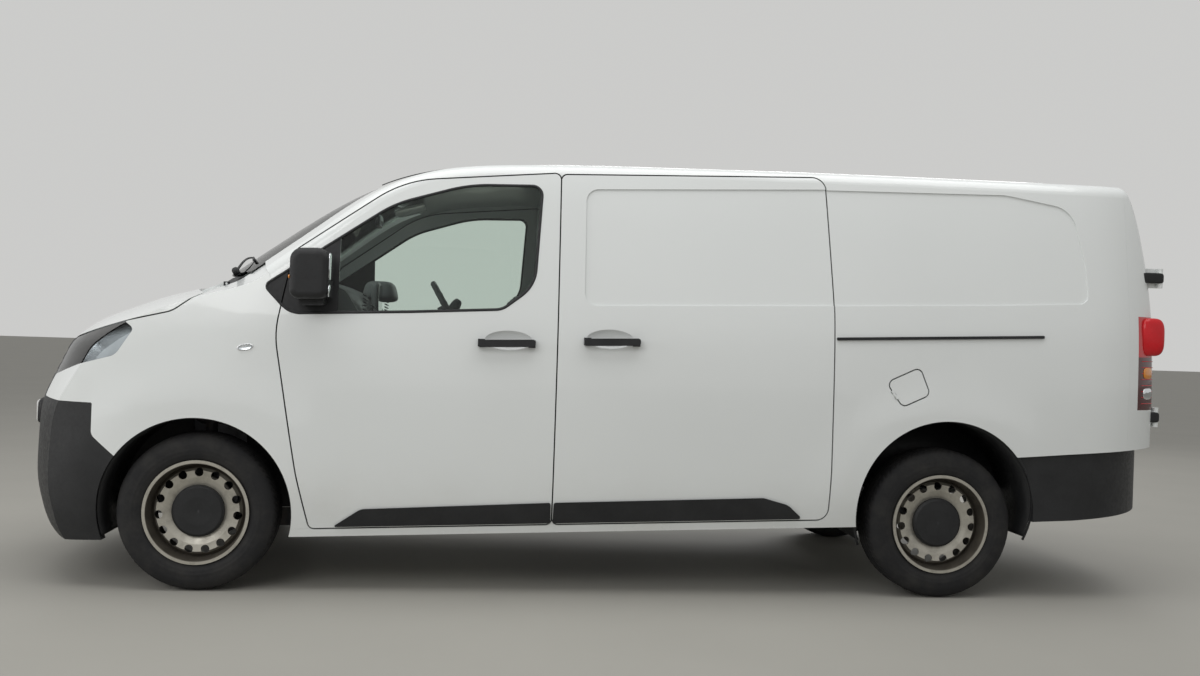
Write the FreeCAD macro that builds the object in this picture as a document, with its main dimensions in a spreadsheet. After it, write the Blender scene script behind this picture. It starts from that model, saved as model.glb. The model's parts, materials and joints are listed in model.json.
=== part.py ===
import FreeCAD, Part
import bisect
import functools
import math
import os
import types

import Sketcher

# Panel van, millimetres. The nose points to -X, +Z is up, the left side is -Y.
# The origin is on the ground below the middle of the van.
# The body stands raked: every level line of it climbs towards the tail by the same slope.

os.makedirs("parts", exist_ok=True)
doc = FreeCAD.newDocument("PanelVan")
V = FreeCAD.Vector

# Driving dimensions, in millimetres and degrees
DIMENSIONS = [
    ("body_length", 5309),
    ("body_width", 1920),
    ("body_height", 1940),
    ("rake_rise", 32.8),
    ("wheelbase", 3275),
    ("front_overhang", 881),
    ("track_front", 1627),
    ("track_rear", 1600),
    ("tyre_radius", 336),
    ("tyre_width", 215),
    ("rim_radius", 216),
    ("rim_wall", 9),
    ("rim_recess", 64),
    ("rim_hole_radius", 18),
    ("rim_hole_circle", 166),
    ("rim_hole_count", 15),
    ("cap_radius", 114),
    ("cap_depth", 22),
    ("hub_radius", 34),
    ("arch_radius", 405),
    ("rear_arch_lift", 59),
    ("liner_wall", 6),
    ("liner_inset", 12),
    ("side_wall", 55),
    ("roof_wall", 32),
    ("tail_wall", 45),
    ("wing_wall", 12),
    ("bonnet_wall", 26),
    ("bumper_wall", 60),
    ("shut_gap", 6),
    ("roof_round", 70),
    ("seat_gap", 0.3),
    ("glass_wall", 5),
    ("glass_inset", 3),
    ("press_depth", 6),
    ("sill_height", 224),
    ("sill_top", 256),
    ("floor_height", 520),
    ("floor_wall", 45),
    ("cab_floor_height", 330),
    ("bulkhead_wall", 30),
    ("bulkhead_x", 1480),
    ("trim_wall", 9),
    ("kingpin_inset", 90),
    ("kingpin_lean", 13),
    ("steering_wheel_radius", 190),
    ("engine_length", 560),
    ("engine_width", 620),
    ("engine_height", 760),
    ("mirror_reach", 1102),
    ("door_hinge_x", 278.5),
    ("door_hinge_y", 922),
    ("rear_hinge_x", 2562),
    ("rear_hinge_y", 812),
    ("bonnet_hinge_x", 53.5),
    ("bonnet_hinge_z", 1318),
    ("pin_radius", 5),
    ("pin_play", 0.05),
    ("rack_half_width", 600),
    ("rack_hole_radius", 4),
    ("tow_eye_radius", 9),
]

sheet = doc.addObject("Spreadsheet::Sheet", "Dimensions")
for row, (alias, value) in enumerate(DIMENSIONS, 1):
    sheet.set(f"A{row}", alias)
    sheet.set(f"B{row}", str(value))
    sheet.setAlias(f"B{row}", alias)
doc.recompute()


class Dim:
    """A size with the formula that binds it to the sheet."""

    def __init__(self, value, text=None):
        self.value = float(value)
        self.text = text or f"{value:g}"

    def __add__(self, other):
        other = as_dim(other)
        return Dim(self.value + other.value, f"({self.text} + {other.text})")

    def __sub__(self, other):
        other = as_dim(other)
        return Dim(self.value - other.value, f"({self.text} - {other.text})")

    def __mul__(self, other):
        other = as_dim(other)
        return Dim(self.value * other.value, f"{self.text} * {other.text}")

    def __truediv__(self, other):
        other = as_dim(other)
        return Dim(self.value / other.value, f"{self.text} / {other.text}")

    def __neg__(self):
        return Dim(-self.value, f"(0 - {self.text})")

    def __float__(self):
        return self.value

    __radd__ = __add__
    __rmul__ = __mul__

    def __rsub__(self, other):
        return as_dim(other) - self


def as_dim(number):
    return number if isinstance(number, Dim) else Dim(number)


size = types.SimpleNamespace()
for alias, value in DIMENSIONS:
    setattr(size, alias, Dim(sheet.get(alias), f"Dimensions.{alias}"))

# Places worked out from the driving dimensions
front_axle = size.front_overhang - size.body_length / 2
rear_axle = front_axle + size.wheelbase
nose_x = -size.body_length / 2
tail_x = size.body_length / 2
FRONT = float(front_axle)
REAR = float(rear_axle)
NOSE = float(nose_x)
TAIL = float(tail_x)
HALF = float(size.body_width) / 2
RISE = float(size.rake_rise) / 1000
GAP = float(size.shut_gap)
SEAT = float(size.seat_gap)


def lift(x):
    """How far the raked body stands above its level at the front axle."""
    return RISE * (x - FRONT)


def up(x, height):
    """Corner of a side view outline, from its height on the level body."""
    return (x, height + lift(x))


def smooth(low, high, t):
    u = min(1.0, max(0.0, (t - low) / (high - low)))
    return u * u * (3 - 2 * u)


class Curve:
    """A smooth curve through a few stations: a natural cubic spline."""

    def __init__(self, *stations):
        self.at = [a for a, b in stations]
        self.to = [b for a, b in stations]
        count = len(stations)
        step = [self.at[i + 1] - self.at[i] for i in range(count - 1)]
        low = [0.0] * count
        high = [0.0] * count
        for i in range(1, count - 1):
            rise = (self.to[i + 1] - self.to[i]) / step[i] - (self.to[i] - self.to[i - 1]) / step[i - 1]
            pivot = 2 * (step[i - 1] + step[i]) - step[i - 1] * low[i - 1]
            low[i] = step[i] / pivot
            high[i] = (3 * rise - step[i - 1] * high[i - 1]) / pivot
        self.bend = [0.0] * count
        for i in range(count - 2, -1, -1):
            self.bend[i] = high[i] - low[i] * self.bend[i + 1]
        self.step = step

    def __call__(self, t):
        i = min(len(self.step) - 1, max(0, bisect.bisect_right(self.at, t) - 1))
        h = self.step[i]
        slope = (self.to[i + 1] - self.to[i]) / h - h * (self.bend[i + 1] + 2 * self.bend[i]) / 3
        u = t - self.at[i]
        if t < self.at[0]:
            return self.to[0] + slope * u
        if t > self.at[-1]:
            end = slope + h * (self.bend[i] + self.bend[i + 1])
            return self.to[-1] + end * (t - self.at[-1])
        cubic = (self.bend[i + 1] - self.bend[i]) / (3 * h)
        return self.to[i] + u * (slope + u * (self.bend[i] + u * cubic))


# Outer form of the body.
# The side's tuck from the full half width, by height on the level body.
tuck = Curve((60, 100), (224, 52), (350, 28), (550, 14), (750, 10), (950, 13), (1100, 21), (1200, 33),
             (1350, 55), (1550, 87), (1720, 117), (1800, 135), (1950, 190))
FLARE = 10
FLARE_INNER = 500
FLARE_OUTER = 680
NOSE_TURN = 770
NOSE_REACH = 900
TAIL_TURN = 560
TAIL_REACH = 700


def half_width(x, z):
    """Distance of the body's side from the middle plane."""
    wide = HALF - tuck(z - lift(x))
    for axle in (FRONT, REAR):
        away = math.hypot(x - axle, z - float(size.tyre_radius))
        wide += FLARE * (1 - smooth(FLARE_INNER, FLARE_OUTER, away)) * smooth(250, 500, z)
    ahead = max(0.0, (NOSE + NOSE_TURN - x) / NOSE_REACH)
    behind = max(0.0, (x - TAIL + TAIL_TURN) / TAIL_REACH)
    return wide * (1 - ahead ** 3) ** 0.625 * (1 - behind ** 3) ** 0.5


# Profiles in the middle plane: distance behind the nose by height on the level body,
# distance ahead of the tail by height, and height of the windscreen and roof by distance
# behind the front axle.
nose_profile = Curve((60, 260), (190, 118), (250, 62), (300, 40), (420, 8), (500, 0), (620, 2), (740, 8),
                     (830, 26), (900, 56), (960, 84), (1020, 112), (1070, 142), (1120, 200), (1160, 262),
                     (1196, 343), (1239, 464), (1272, 564), (1306, 704), (1334, 790), (1370, 850),
                     (1422, 924), (1519, 1064), (1643, 1254))
tail_profile = Curve((100, 60), (500, 48), (700, 44), (1000, 50), (1200, 62), (1350, 82), (1500, 112),
                     (1650, 150), (1760, 190), (1850, 236), (1950, 300))
top_profile = Curve((-330, 1200), (-200, 1274), (-96, 1335), (43, 1428), (183, 1524), (373, 1648),
                    (573, 1753),
                    (773, 1817), (973, 1851), (1173, 1866), (1373, 1871), (1573, 1872), (1873, 1868),
                    (2273, 1860), (2773, 1848), (3373, 1829), (3973, 1808), (4273, 1796), (4600, 1780))
NOSE_BOW = 0.36
NOSE_CROWN = 0.02
TAIL_BOW = 0.10
SCREEN_BOW = 0.30
ROOF_CROWN = 0.04
ROOF_TOP = 1940


def skin(rows):
    """Smooth face through a grid of points."""
    surface = Part.BSplineSurface()
    surface.interpolate(rows)
    return surface.toShape()


def stations(low, high, count):
    return [low + (high - low) * i / (count - 1) for i in range(count)]


def side_skin(inset):
    """Left side of the body, moved inwards by the inset."""
    xs = stations(NOSE - 10, FRONT + 740, 16) + stations(FRONT + 880, REAR - 800, 9)
    xs += stations(REAR - 700, TAIL + 20, 16)
    zs = stations(60, 2060, 22)
    return skin([[V(x, inset - half_width(x, z), z) for z in zs] for x in xs])


def nose_skin(inset):
    """Front of the nose and the bonnet, moved back and down by the inset."""
    heights = [0, 60, 130, 190, 240, 290, 350, 420, 500, 580, 660, 740, 800, 850, 900, 940, 980, 1020, 1050,
               1080, 1110, 1140, 1170, 1200, 1230, 1260, 1285, 1306, 1325, 1345, 1370, 1400, 1440, 1500, 1580]
    rows = []
    for height in heights:
        row = []
        for y in stations(-1040, 1040, 17):
            x = NOSE + nose_profile(height) + NOSE_BOW * y * y / 1000
            row.append(V(x + inset, y, height + lift(x) - inset - NOSE_CROWN * y * y / 1000))
        rows.append(row)
    return skin(rows)


def tail_skin(inset):
    """Tail of the body, moved forwards by the inset."""
    rows = []
    for height in stations(-140, 2040, 20):
        x = TAIL - tail_profile(height)
        rows.append([V(x - TAIL_BOW * y * y / 1000 - inset, y, height + lift(x))
                     for y in stations(-1040, 1040, 11)])
    return skin(rows)


def top_skin(inset):
    """Windscreen and roof, moved down by the inset."""
    xs = stations(FRONT - 700, FRONT + 1400, 24) + stations(FRONT + 1600, TAIL + 60, 14)
    raise_by = float(size.body_height) - ROOF_TOP
    rows = []
    for x in xs:
        height = top_profile(x - FRONT) + lift(x) + raise_by
        bow = SCREEN_BOW * (1 - smooth(FRONT + 200, FRONT + 1300, x))
        rows.append([V(x + bow * y * y / 1000, y, height - ROOF_CROWN * y * y / 1000 - inset)
                     for y in stations(-1040, 1040, 11)])
    return skin(rows)


def slab(low, high):
    """Box between two corners."""
    return Part.makeBox(high[0] - low[0], high[1] - low[1], high[2] - low[2], V(*low))


def mirrored(shape):
    return shape.mirror(V(0, 0, 0), V(0, 1, 0))


def cell(box, skins, point):
    """Piece of the box that the skins leave around the point."""
    pieces, history = box.generalFuse(skins)
    for piece in pieces.Solids:
        if piece.isInside(V(*point), 0.1, False):
            return piece


@functools.lru_cache
def cabin_half(side, top, tail):
    """Left half of the cab and load space, each skin moved inwards by its own inset."""
    box = slab((FRONT - 300, -1000, 90), (TAIL, 0, 2040))
    return cell(box, [side_skin(side), top_skin(top), tail_skin(tail)], (0, -300, 1000))


@functools.lru_cache
def front_half(side, bonnet):
    """Left half of the nose and bonnet, each skin moved inwards by its own inset."""
    box = slab((NOSE - 2, -1000, 90), (FRONT + 600, 0, 1470))
    return cell(box, [side_skin(side), nose_skin(bonnet)], (FRONT, -300, 800))


# Side view outlines: corners (x, z) with the radius of each corner's round
def offset(corners, gap):
    """The same outline moved outwards by the gap, its rounds kept round."""
    count = len(corners)
    area = sum(corners[i - 1][0] * corners[i][1] - corners[i][0] * corners[i - 1][1] for i in range(count))
    turn = 1 if area > 0 else -1
    moved = []
    for i in range(count):
        ax, az, ar = corners[i - 1]
        bx, bz, br = corners[i]
        cx, cz, cr = corners[(i + 1) % count]
        ux, uz = bx - ax, bz - az
        vx, vz = cx - bx, cz - bz
        un = math.hypot(ux, uz)
        vn = math.hypot(vx, vz)
        ux, uz, vx, vz = ux / un, uz / un, vx / vn, vz / vn
        cross = ux * vz - uz * vx
        px, pz = turn * uz, -turn * ux
        qx, qz = turn * vz, -turn * vx
        scale = gap / (1 + px * qx + pz * qz)
        radius = br + gap if cross * turn > 0 else br - gap
        moved.append((bx + (px + qx) * scale, bz + (pz + qz) * scale, max(radius, 0)))
    return moved


def outline(corners, y=0.0):
    """Closed wire in the side view, straight runs joined by tangent arcs."""
    count = len(corners)
    starts = []
    edges = []
    for i in range(count):
        a = V(corners[i - 1][0], y, corners[i - 1][1])
        b = V(corners[i][0], y, corners[i][1])
        c = V(corners[(i + 1) % count][0], y, corners[(i + 1) % count][1])
        radius = corners[i][2]
        if radius <= 0:
            starts.append((b, b, None))
            continue
        back = (a - b).normalize()
        on = (c - b).normalize()
        half = back.getAngle(on) / 2
        reach = radius / math.tan(half)
        middle = b + (back + on).normalize() * (radius / math.sin(half))
        deep = middle + (b - middle).normalize() * radius
        starts.append((b + back * reach, b + on * reach, deep))
    for i in range(count):
        enter, leave, deep = starts[i]
        if deep is not None:
            edges.append(Part.Arc(enter, deep, leave).toShape())
        after = starts[(i + 1) % count][0]
        if (after - leave).Length > 0.01:
            edges.append(Part.LineSegment(leave, after).toShape())
    return Part.Wire(edges)


def prism(corners, low=-1300, high=1300):
    """Side view outline carried across the van from y = low to y = high."""
    return Part.Face(outline(corners, low)).extrude(V(0, high - low, 0))


def disc(x, z, radius, low=-1300, high=1300):
    return Part.makeCylinder(radius, high - low, V(x, low, z), V(0, 1, 0))


def add_shape(label, shape):
    """Free-form piece of the document."""
    piece = doc.addObject("Part::Feature", label)
    piece.Label = label
    piece.Shape = shape
    return piece


def solids(*shapes):
    """One shape of one or more separate solids."""
    found = []
    for shape in shapes:
        found += shape.Solids
    return found[0] if len(found) == 1 else Part.makeCompound(found)


def largest(shape):
    """The main solid of a cut, without the slivers beside it."""
    return max(shape.Solids, key=lambda piece: piece.Volume)


def long_edges(form, low, high):
    """Edges longer than half a metre whose middle lies between two corners."""
    found = []
    for edge in form.Edges:
        middle = edge.CenterOfMass
        inside = low[0] < middle.x < high[0] and low[1] < middle.y < high[1] and low[2] < middle.z < high[2]
        if inside and edge.Length > 500:
            found.append(edge)
    return found


def arched(points, low=0, high=2300):
    """Plan outline of straight sides between a bowed front and a bowed rear edge, carried upwards."""
    front_side, front_middle, rear_side, rear_middle = points
    a = V(front_side[0], -front_side[1], low)
    b = V(front_side[0], front_side[1], low)
    c = V(rear_side[0], rear_side[1], low)
    d = V(rear_side[0], -rear_side[1], low)
    edges = [Part.Arc(a, V(front_middle, 0, low), b).toShape(), Part.LineSegment(b, c).toShape(),
             Part.Arc(c, V(rear_middle, 0, low), d).toShape(), Part.LineSegment(d, a).toShape()]
    return Part.Face(Part.Wire(edges)).extrude(V(0, 0, high - low))


@functools.lru_cache
def side_half(inset):
    """Everything inside the left side skin, moved inwards by the inset."""
    box = slab((NOSE + 300, -1000, 90), (TAIL - 60, 0, 2040))
    return cell(box, [side_skin(inset)], (0, -300, 1000))


def solids_of_ends(corners):
    """Two short prisms at the front and rear ends of a handle's outline."""
    low = min(z for x, z, radius in corners)
    high = max(z for x, z, radius in corners)
    front = min(x for x, z, radius in corners)
    rear = max(x for x, z, radius in corners)
    return Part.makeCompound([slab((front, -1300, low + 4), (front + 30, 0, high - 4)),
                              slab((rear - 30, -1300, low + 4), (rear, 0, high - 4))])


def whole(half):
    """Both halves of a piece that crosses the middle plane."""
    return half.fuse(mirrored(half))


# Master forms of the left half
plain_cabin = cabin_half(0, 0, 0)
shoulder = long_edges(plain_cabin, (FRONT + 200, -1000, 1200), (TAIL - 100, -300, 2000))
corner = long_edges(plain_cabin, (TAIL - 400, -1000, 700), (TAIL + 1, -300, 1500))
outer_cabin = plain_cabin.makeFillet(float(size.roof_round), shoulder + corner)
inner_cabin = cabin_half(float(size.side_wall), float(size.roof_wall), float(size.tail_wall))
cabin_shell = outer_cabin.cut(inner_cabin)
outer_front = front_half(0, 0)
front_shell = outer_front.cut(front_half(float(size.wing_wall), float(size.bonnet_wall)))
deep_shell = outer_front.cut(front_half(float(size.bumper_wall), float(size.bumper_wall)))


def relative(axle, corners):
    """Outline from distances behind an axle and heights on the level body."""
    return [(axle + dx, height + lift(axle + dx), radius) for dx, height, radius in corners]


# Side view outlines of the panels
door_line = relative(FRONT, [(475.5, 262, 25), (417, 500, 900), (311, 1100, 420), (376, 1452, 60),
                             (830, 1762, 500), (1511.5, 1803, 25), (1508.5, 262, 25)])
slider_line = relative(FRONT, [(1514.5, 262, 25), (1517.5, 1797, 25), (2707, 1797, 60), (2743, 1200, 2000),
                               (2746, 480, 500), (2741, 262, 50)])
window_line = relative(FRONT, [(250, 1302, 25), (365, 1180, 110), (880, 1186, 900), (1270, 1196, 90),
                               (1410, 1300, 160), (1436, 1748, 45), (1110, 1750, 700), (790, 1662, 500)])
bonnet_line = relative(FRONT, [(-1100, 1062, 0), (-650, 1078, 0), (-410, 1130, 300), (-120, 1192, 110),
                               (20, 1292, 0), (20, 1700, 0), (-1100, 1700, 0)])
lamp_line = relative(FRONT, [(-900, 860, 0), (-514, 966, 40), (-345, 1006, 60), (-272, 1118, 18),
                             (-312, 1150, 12), (-410, 1128, 0), (-900, 1010, 0)])
bumper_line = relative(FRONT, [(-1000, 60, 0), (-1000, 830, 0), (-435.5, 806, 6), (-434.5, 672, 40),
                               (-339, 588, 0), (-250, 520, 0), (-200, 60, 0)])
front_arch = (FRONT - 5, float(size.tyre_radius), float(size.arch_radius))
rear_arch = (REAR + 8, float(size.tyre_radius + size.rear_arch_lift), float(size.arch_radius) + 5)
quarter_x = REAR + 865
front_cut = disc(*front_arch)
rear_cut = disc(*rear_arch)
sill_low = float(size.sill_height)
sill_high = float(size.sill_top)
below_sill = prism([(NOSE - 200, -200, 0), (TAIL + 200, -200, 0), (*up(TAIL + 200, sill_low), 0),
                    (*up(NOSE - 200, sill_low), 0)])
rear_low = relative(REAR, [(300, -300, 0), (1500, -300, 0), (1500, 577, 0), (300, 531, 0)])

door_hole = prism(offset(door_line, GAP))
slider_hole = prism(offset(slider_line, GAP))
door_block = prism(door_line)
slider_block = prism(slider_line)
window_block = prism(window_line)

# Windscreen, roof and cowl in plan: a side point and the middle of a bowed edge, front then rear
screen_plan = ((FRONT + 175, 760), FRONT - 30, (FRONT + 833, 700), FRONT + 700 - SEAT)
roof_plan = ((FRONT + 850, 735), FRONT + 700, (quarter_x, 735), quarter_x + 0.01)
bonnet_plan = ((NOSE - 200, 1000), NOSE - 200.01, (FRONT + 60, 1000), FRONT - 157)
cowl_plan = ((FRONT + 40, 735), FRONT - 151, (FRONT + 168, 735), FRONT - 30.3)


def grown(points, gap):
    """A plan outline moved outwards by the gap."""
    front_side, front_middle, rear_side, rear_middle = points
    return ((front_side[0] - gap, front_side[1] + gap), front_middle - gap,
            (rear_side[0] + gap, rear_side[1] + gap), rear_middle + gap)


side_wall = float(size.side_wall)
floor_top = float(size.floor_height)
floor_low = floor_top - float(size.floor_wall)
cab_floor = float(size.cab_floor_height)

# Pins and the lugs they turn in
pin = float(size.pin_radius)
bore = pin + float(size.pin_play)
door_pin = V(FRONT + float(size.door_hinge_x), -float(size.door_hinge_y), 0)
rear_pin = V(float(size.rear_hinge_x), -float(size.rear_hinge_y), 0)
bonnet_pin = V(FRONT + float(size.bonnet_hinge_x), 0, float(size.bonnet_hinge_z))


def upright(at, radius, low, high):
    """Upright cylinder at a point of the plan."""
    return Part.makeCylinder(radius, high - low, V(at.x, at.y, low))


def crossways(at, radius, low, high):
    """Cylinder across the van from y = low to y = high at a point of the side view."""
    return Part.makeCylinder(radius, high - low, V(at.x, low, at.z), V(0, 1, 0))


# Body sides
pillar_joint = relative(FRONT, [(180, 1480, 0), (272, 1352, 0), (330, 1240, 0), (420, 800, 0), (495, 420, 0),
                                (495, 259, 0), (380, 259, 0), (380, -200, 0), (4600, -200, 0),
                                (4600, 2300, 0),
                                (180, 2300, 0)])
side_zone = prism(pillar_joint).common(slab((FRONT - 300, -1300, 0), (quarter_x, 0, 2300)))
sail_tip = prism(offset(window_line, SEAT))
side_left = cabin_shell.common(side_zone)
press_room = side_half(-20).cut(side_half(float(size.press_depth)))
slider_press = press_room.common(prism(relative(FRONT, [(1627, 1215, 55), (1627, 1733, 55), (2900, 1745, 0),
                                                        (2900, 1215, 0)])))
quarter_press = press_room.common(prism(relative(FRONT, [(2600, 1214, 0), (2600, 1742, 0), (3560, 1726, 300),
                                                         (3872, 1662, 120), (3925, 1400, 500),
                                                         (3935, 1224, 45),
                                                         (3500, 1217, 0)])))
swage = press_room.common(prism(relative(FRONT, [(2760, 1148, 4), (2760, 1154, 4), (3790, 1163, 4),
                                                 (3790, 1157, 4)])))
side_cuts = [quarter_press, swage, arched(grown(roof_plan, SEAT), 1600),
             arched(grown(screen_plan, SEAT), 1200),
             below_sill, door_hole,
             slider_hole, rear_cut, front_cut, prism(rear_low), sail_tip]
for cutter in side_cuts:
    side_left = side_left.cut(cutter)
add_shape("side_right", mirrored(side_left))
flap_line = relative(REAR, [(-284, 873, 25), (-136, 937, 25), (-90, 819, 25), (-212, 767, 25)])
side_left = side_left.cut(prism(offset(flap_line, GAP), -1300, -915))
flap = side_half(1).cut(side_half(8)).common(prism(flap_line))
# The flap's pin lies in the middle of the gap along its front edge, level with the skin
ends = []
for x, z, radius in (flap_line[0], flap_line[3]):
    x, z = x - 0.827 * GAP / 2, z - 0.562 * GAP / 2
    ends.append(V(x, -half_width(x, z), z))
flap_axis = (ends[1] - ends[0]).normalize()
flap_pin = (ends[0] + ends[1]) * 0.5


def along_flap(radius, low, high):
    """Cylinder on the flap's hinge line between two distances from its middle."""
    return Part.makeCylinder(radius, high - low, flap_pin + flap_axis * low, flap_axis)


flap = flap.cut(along_flap(8, -9, 9)).fuse([along_flap(2.5, -22, 22), along_flap(5, 8 + SEAT, 22),
                                            along_flap(5, -22, -8 - SEAT)])
side_left = side_left.cut([along_flap(8, 8, 23), along_flap(8, -23, -8)]).fuse(along_flap(5, -8, 8))
side_left = side_left.cut(along_flap(2.5 + float(size.pin_play), -9, 9))
add_shape("side_left", side_left)
add_shape("fuel_flap", flap)
roof = whole(cabin_shell.common(arched(roof_plan, 1600)))
for x in (FRONT + 1300, FRONT + 3300):
    for y in (-float(size.rack_half_width), float(size.rack_half_width)):
        roof = roof.cut(Part.makeCylinder(float(size.rack_hole_radius), 500, V(x, y, 1600)))
add_shape("roof", roof)

# Rear frame with its door opening, lamps and doors
door_low = 578 + lift(TAIL - 50)
door_high = 1700 + lift(TAIL - 150)
door_side = 795
lamp_low = 735 + lift(TAIL - 150)
lamp_high = 1165 + lift(TAIL - 150)
tail_zone = slab((quarter_x + SEAT, -1300, 0), (TAIL + 100, 0, 2300))
tail_zone = tail_zone.cut(prism(rear_low))
lamp_front = quarter_x + 55
lamp_zone = slab((lamp_front, -1300, lamp_low), (TAIL + 100, -door_side - GAP, lamp_high))
rear_frame = cabin_shell.common(tail_zone)
rear_frame = rear_frame.cut(slab((REAR, -door_side - GAP, door_low), (TAIL + 100, 1, door_high)))
rear_frame = rear_frame.cut(slab((lamp_front - SEAT, -1300, lamp_low - SEAT),
                                 (TAIL + 100, -door_side, lamp_high + SEAT)))
hinge_levels = (840, 1490)
for level in hinge_levels:
    arm = slab((rear_pin.x - 130, rear_pin.y - 14, level - 25), (rear_pin.x, rear_pin.y, level + 25))
    arm = arm.cut(inner_cabin).fuse(upright(rear_pin, 12, level - 25, level + 25))
    rear_frame = rear_frame.fuse(arm).cut(upright(rear_pin, bore, level - 60, level + 60))
add_shape("rear_frame", whole(rear_frame))
tail_lamp = cabin_shell.common(tail_zone).common(lamp_zone)
add_shape("tail_lamps", solids(tail_lamp, mirrored(tail_lamp)))
rear_door = cabin_shell.common(slab((quarter_x + 8, -door_side, door_low + GAP),
                                    (TAIL + 100, -GAP / 2, door_high - GAP)))
for level in hinge_levels:
    web = slab((rear_pin.x - 130, rear_pin.y + 17, level - 45), (rear_pin.x, rear_pin.y + 32, level + 45))
    rear_door = rear_door.fuse([web.cut(inner_cabin), upright(rear_pin, pin, level - 45, level + 45)])
    for low in (level - 45, level + 25 + SEAT):
        eye = slab((rear_pin.x - 12, rear_pin.y, low), (rear_pin.x + 8, rear_pin.y + 20, low + 20 - SEAT))
        rear_door = rear_door.fuse([eye, upright(rear_pin, 12, low, low + 20 - SEAT)])
add_shape("rear_door_left", rear_door)
add_shape("rear_door_right", mirrored(rear_door))

# Side doors, with a cup pressed in behind each handle
def cup(x, height):
    """Shallow dish in the side skin."""
    z = height + lift(x)
    ball = Part.makeSphere(1)
    matrix = FreeCAD.Matrix()
    matrix.scale(105, 20, 44)
    ball = ball.transformGeometry(matrix)
    ball.translate(V(x, -half_width(x, z) - 4, z))
    return ball


door_panel = cabin_shell.common(door_block).cut([window_block, cup(FRONT + 1300, 1066)])
# Only the skin reaches the front edge: the frame stands back behind it and swings clear of the wing
hem = door_block.cut(prism(offset(door_line, -8))).common(side_half(3))
door_panel = door_panel.cut(hem.common(slab((FRONT, -1300, 0), (FRONT + 480, 0, 1240))))
lug_low, lug_high = 885, 985
plates = ((lug_low - 15, lug_low - SEAT), (lug_high + SEAT, lug_high + 15))
reach_in = 74
neck = slab((door_pin.x - 8, door_pin.y + reach_in - 12, plates[0][0]),
            (door_pin.x + 97, door_pin.y + reach_in, plates[1][1]))
neck = neck.fuse(slab((door_pin.x + 84, door_pin.y + 20, plates[0][0]),
                      (door_pin.x + 97, door_pin.y + reach_in, plates[1][1])))
neck = neck.fuse(upright(door_pin, pin, plates[0][0], plates[1][1]))
for low, high in plates:
    neck = neck.fuse([upright(door_pin, 10, low, high),
                      slab((door_pin.x - 8, door_pin.y, low), (door_pin.x + 8, door_pin.y + reach_in, high))])
door_panel = door_panel.fuse(neck)
add_shape("door_left_shell", door_panel)
add_shape("door_right_shell", mirrored(door_panel))
slider_panel = cabin_shell.common(slider_block).cut([slider_press, cup(FRONT + 1742, 1070)])
side_inner = side_half(side_wall - 8)
for x in (REAR - 1600, REAR - 800):
    roller_z = floor_top + lift(x + 70) + SEAT
    roller = slab((x, -1000, roller_z), (x + 70, -790, roller_z + 18)).common(side_inner)
    slider_panel = slider_panel.fuse(roller)
add_shape("sliding_doors", solids(slider_panel, mirrored(slider_panel)))

# Glass
glass_in = float(size.glass_inset)
glass_out = glass_in + float(size.glass_wall)
glass_shell = cabin_half(glass_in, glass_in, 0).cut(cabin_half(glass_out, glass_out, 0))
add_shape("windscreen", whole(glass_shell.common(arched(screen_plan, 1200))))
sail_cut = slab((FRONT + 568, -1300, 1000), (FRONT + 1600, 0, 2000))
door_glass = glass_shell.common(prism(offset(window_line, -SEAT))).common(sail_cut)
add_shape("door_left_glass", door_glass)
add_shape("door_right_glass", mirrored(door_glass))

# Nose: wings, bonnet, lamps, bumper and grilles
bonnet_hole = prism(offset(bonnet_line, GAP / 2))
bonnet_block = prism(offset(bonnet_line, -GAP / 2))
lamp_side = 552
lamp_block = prism(lamp_line)
lamp_hole = prism(offset(lamp_line, SEAT))
bumper_block = prism(bumper_line)
bumper_hole = prism(offset(bumper_line, SEAT))
inner_half = slab((NOSE - 200, -lamp_side, -100), (FRONT, 100, 1500))
nose_zone = slab((NOSE - 100, -1300, 0), (FRONT + 600, 0, 1470)).cut(inner_half)
wing = front_shell.common(nose_zone)
wing_cuts = [bonnet_hole, lamp_hole, bumper_hole, front_cut, door_hole, prism(offset(pillar_joint, SEAT)),
             sail_tip,
             arched(cowl_plan, 1000), arched(grown(screen_plan, SEAT), 1000)]
for cutter in wing_cuts:
    wing = wing.cut(cutter)
wing = largest(wing)
add_shape("wings", solids(wing, mirrored(wing)))
bonnet = front_shell.common(bonnet_block).common(arched(bonnet_plan, 900))
arm_view = [(FRONT - 95, 1250, 0), (FRONT - 95, 1264, 0), (FRONT + 42, 1326, 6), (FRONT + 63, 1326, 6),
            (FRONT + 63, 1310, 6), (FRONT + 44, 1308, 4)]
bonnet_arm = prism(arm_view, -676, -664).fuse(crossways(bonnet_pin, pin, -692, -664))
add_shape("bonnet", whole(largest(bonnet.fuse(bonnet_arm))))
lens = outer_front.cut(front_half(5, 5)).common(lamp_block).common(nose_zone)
lens = lens.cut(bonnet_hole)
bowl = front_half(40, 40).cut(front_half(90, 90)).common(lamp_block).common(nose_zone).cut(bonnet_hole)
add_shape("headlamp_lenses", solids(lens, mirrored(lens)))
add_shape("headlamps", solids(bowl, mirrored(bowl)))
chin = prism(relative(FRONT, [(-1000, -100, 0), (0, -100, 0), (0, 232, 0), (-760, 214, 300),
                              (-1000, 262, 0)]))
bumper = deep_shell.common(bumper_block).cut([front_cut, chin])
lower_opening = slab((NOSE - 100, -430, 270), (FRONT, 10, 520))
bumper = whole(bumper.cut(lower_opening))
tow_eye = Part.makeCylinder(float(size.tow_eye_radius), 240, V(NOSE - 60, 320, 620), V(1, 0, 0))
add_shape("bumper_front", bumper.cut(tow_eye))
grille = deep_shell.common(inner_half).cut(bonnet_hole).cut(bumper_hole)
grille = grille.common(slab((NOSE - 100, -lamp_side + SEAT, 700), (FRONT, 10, 1200)))
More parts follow.
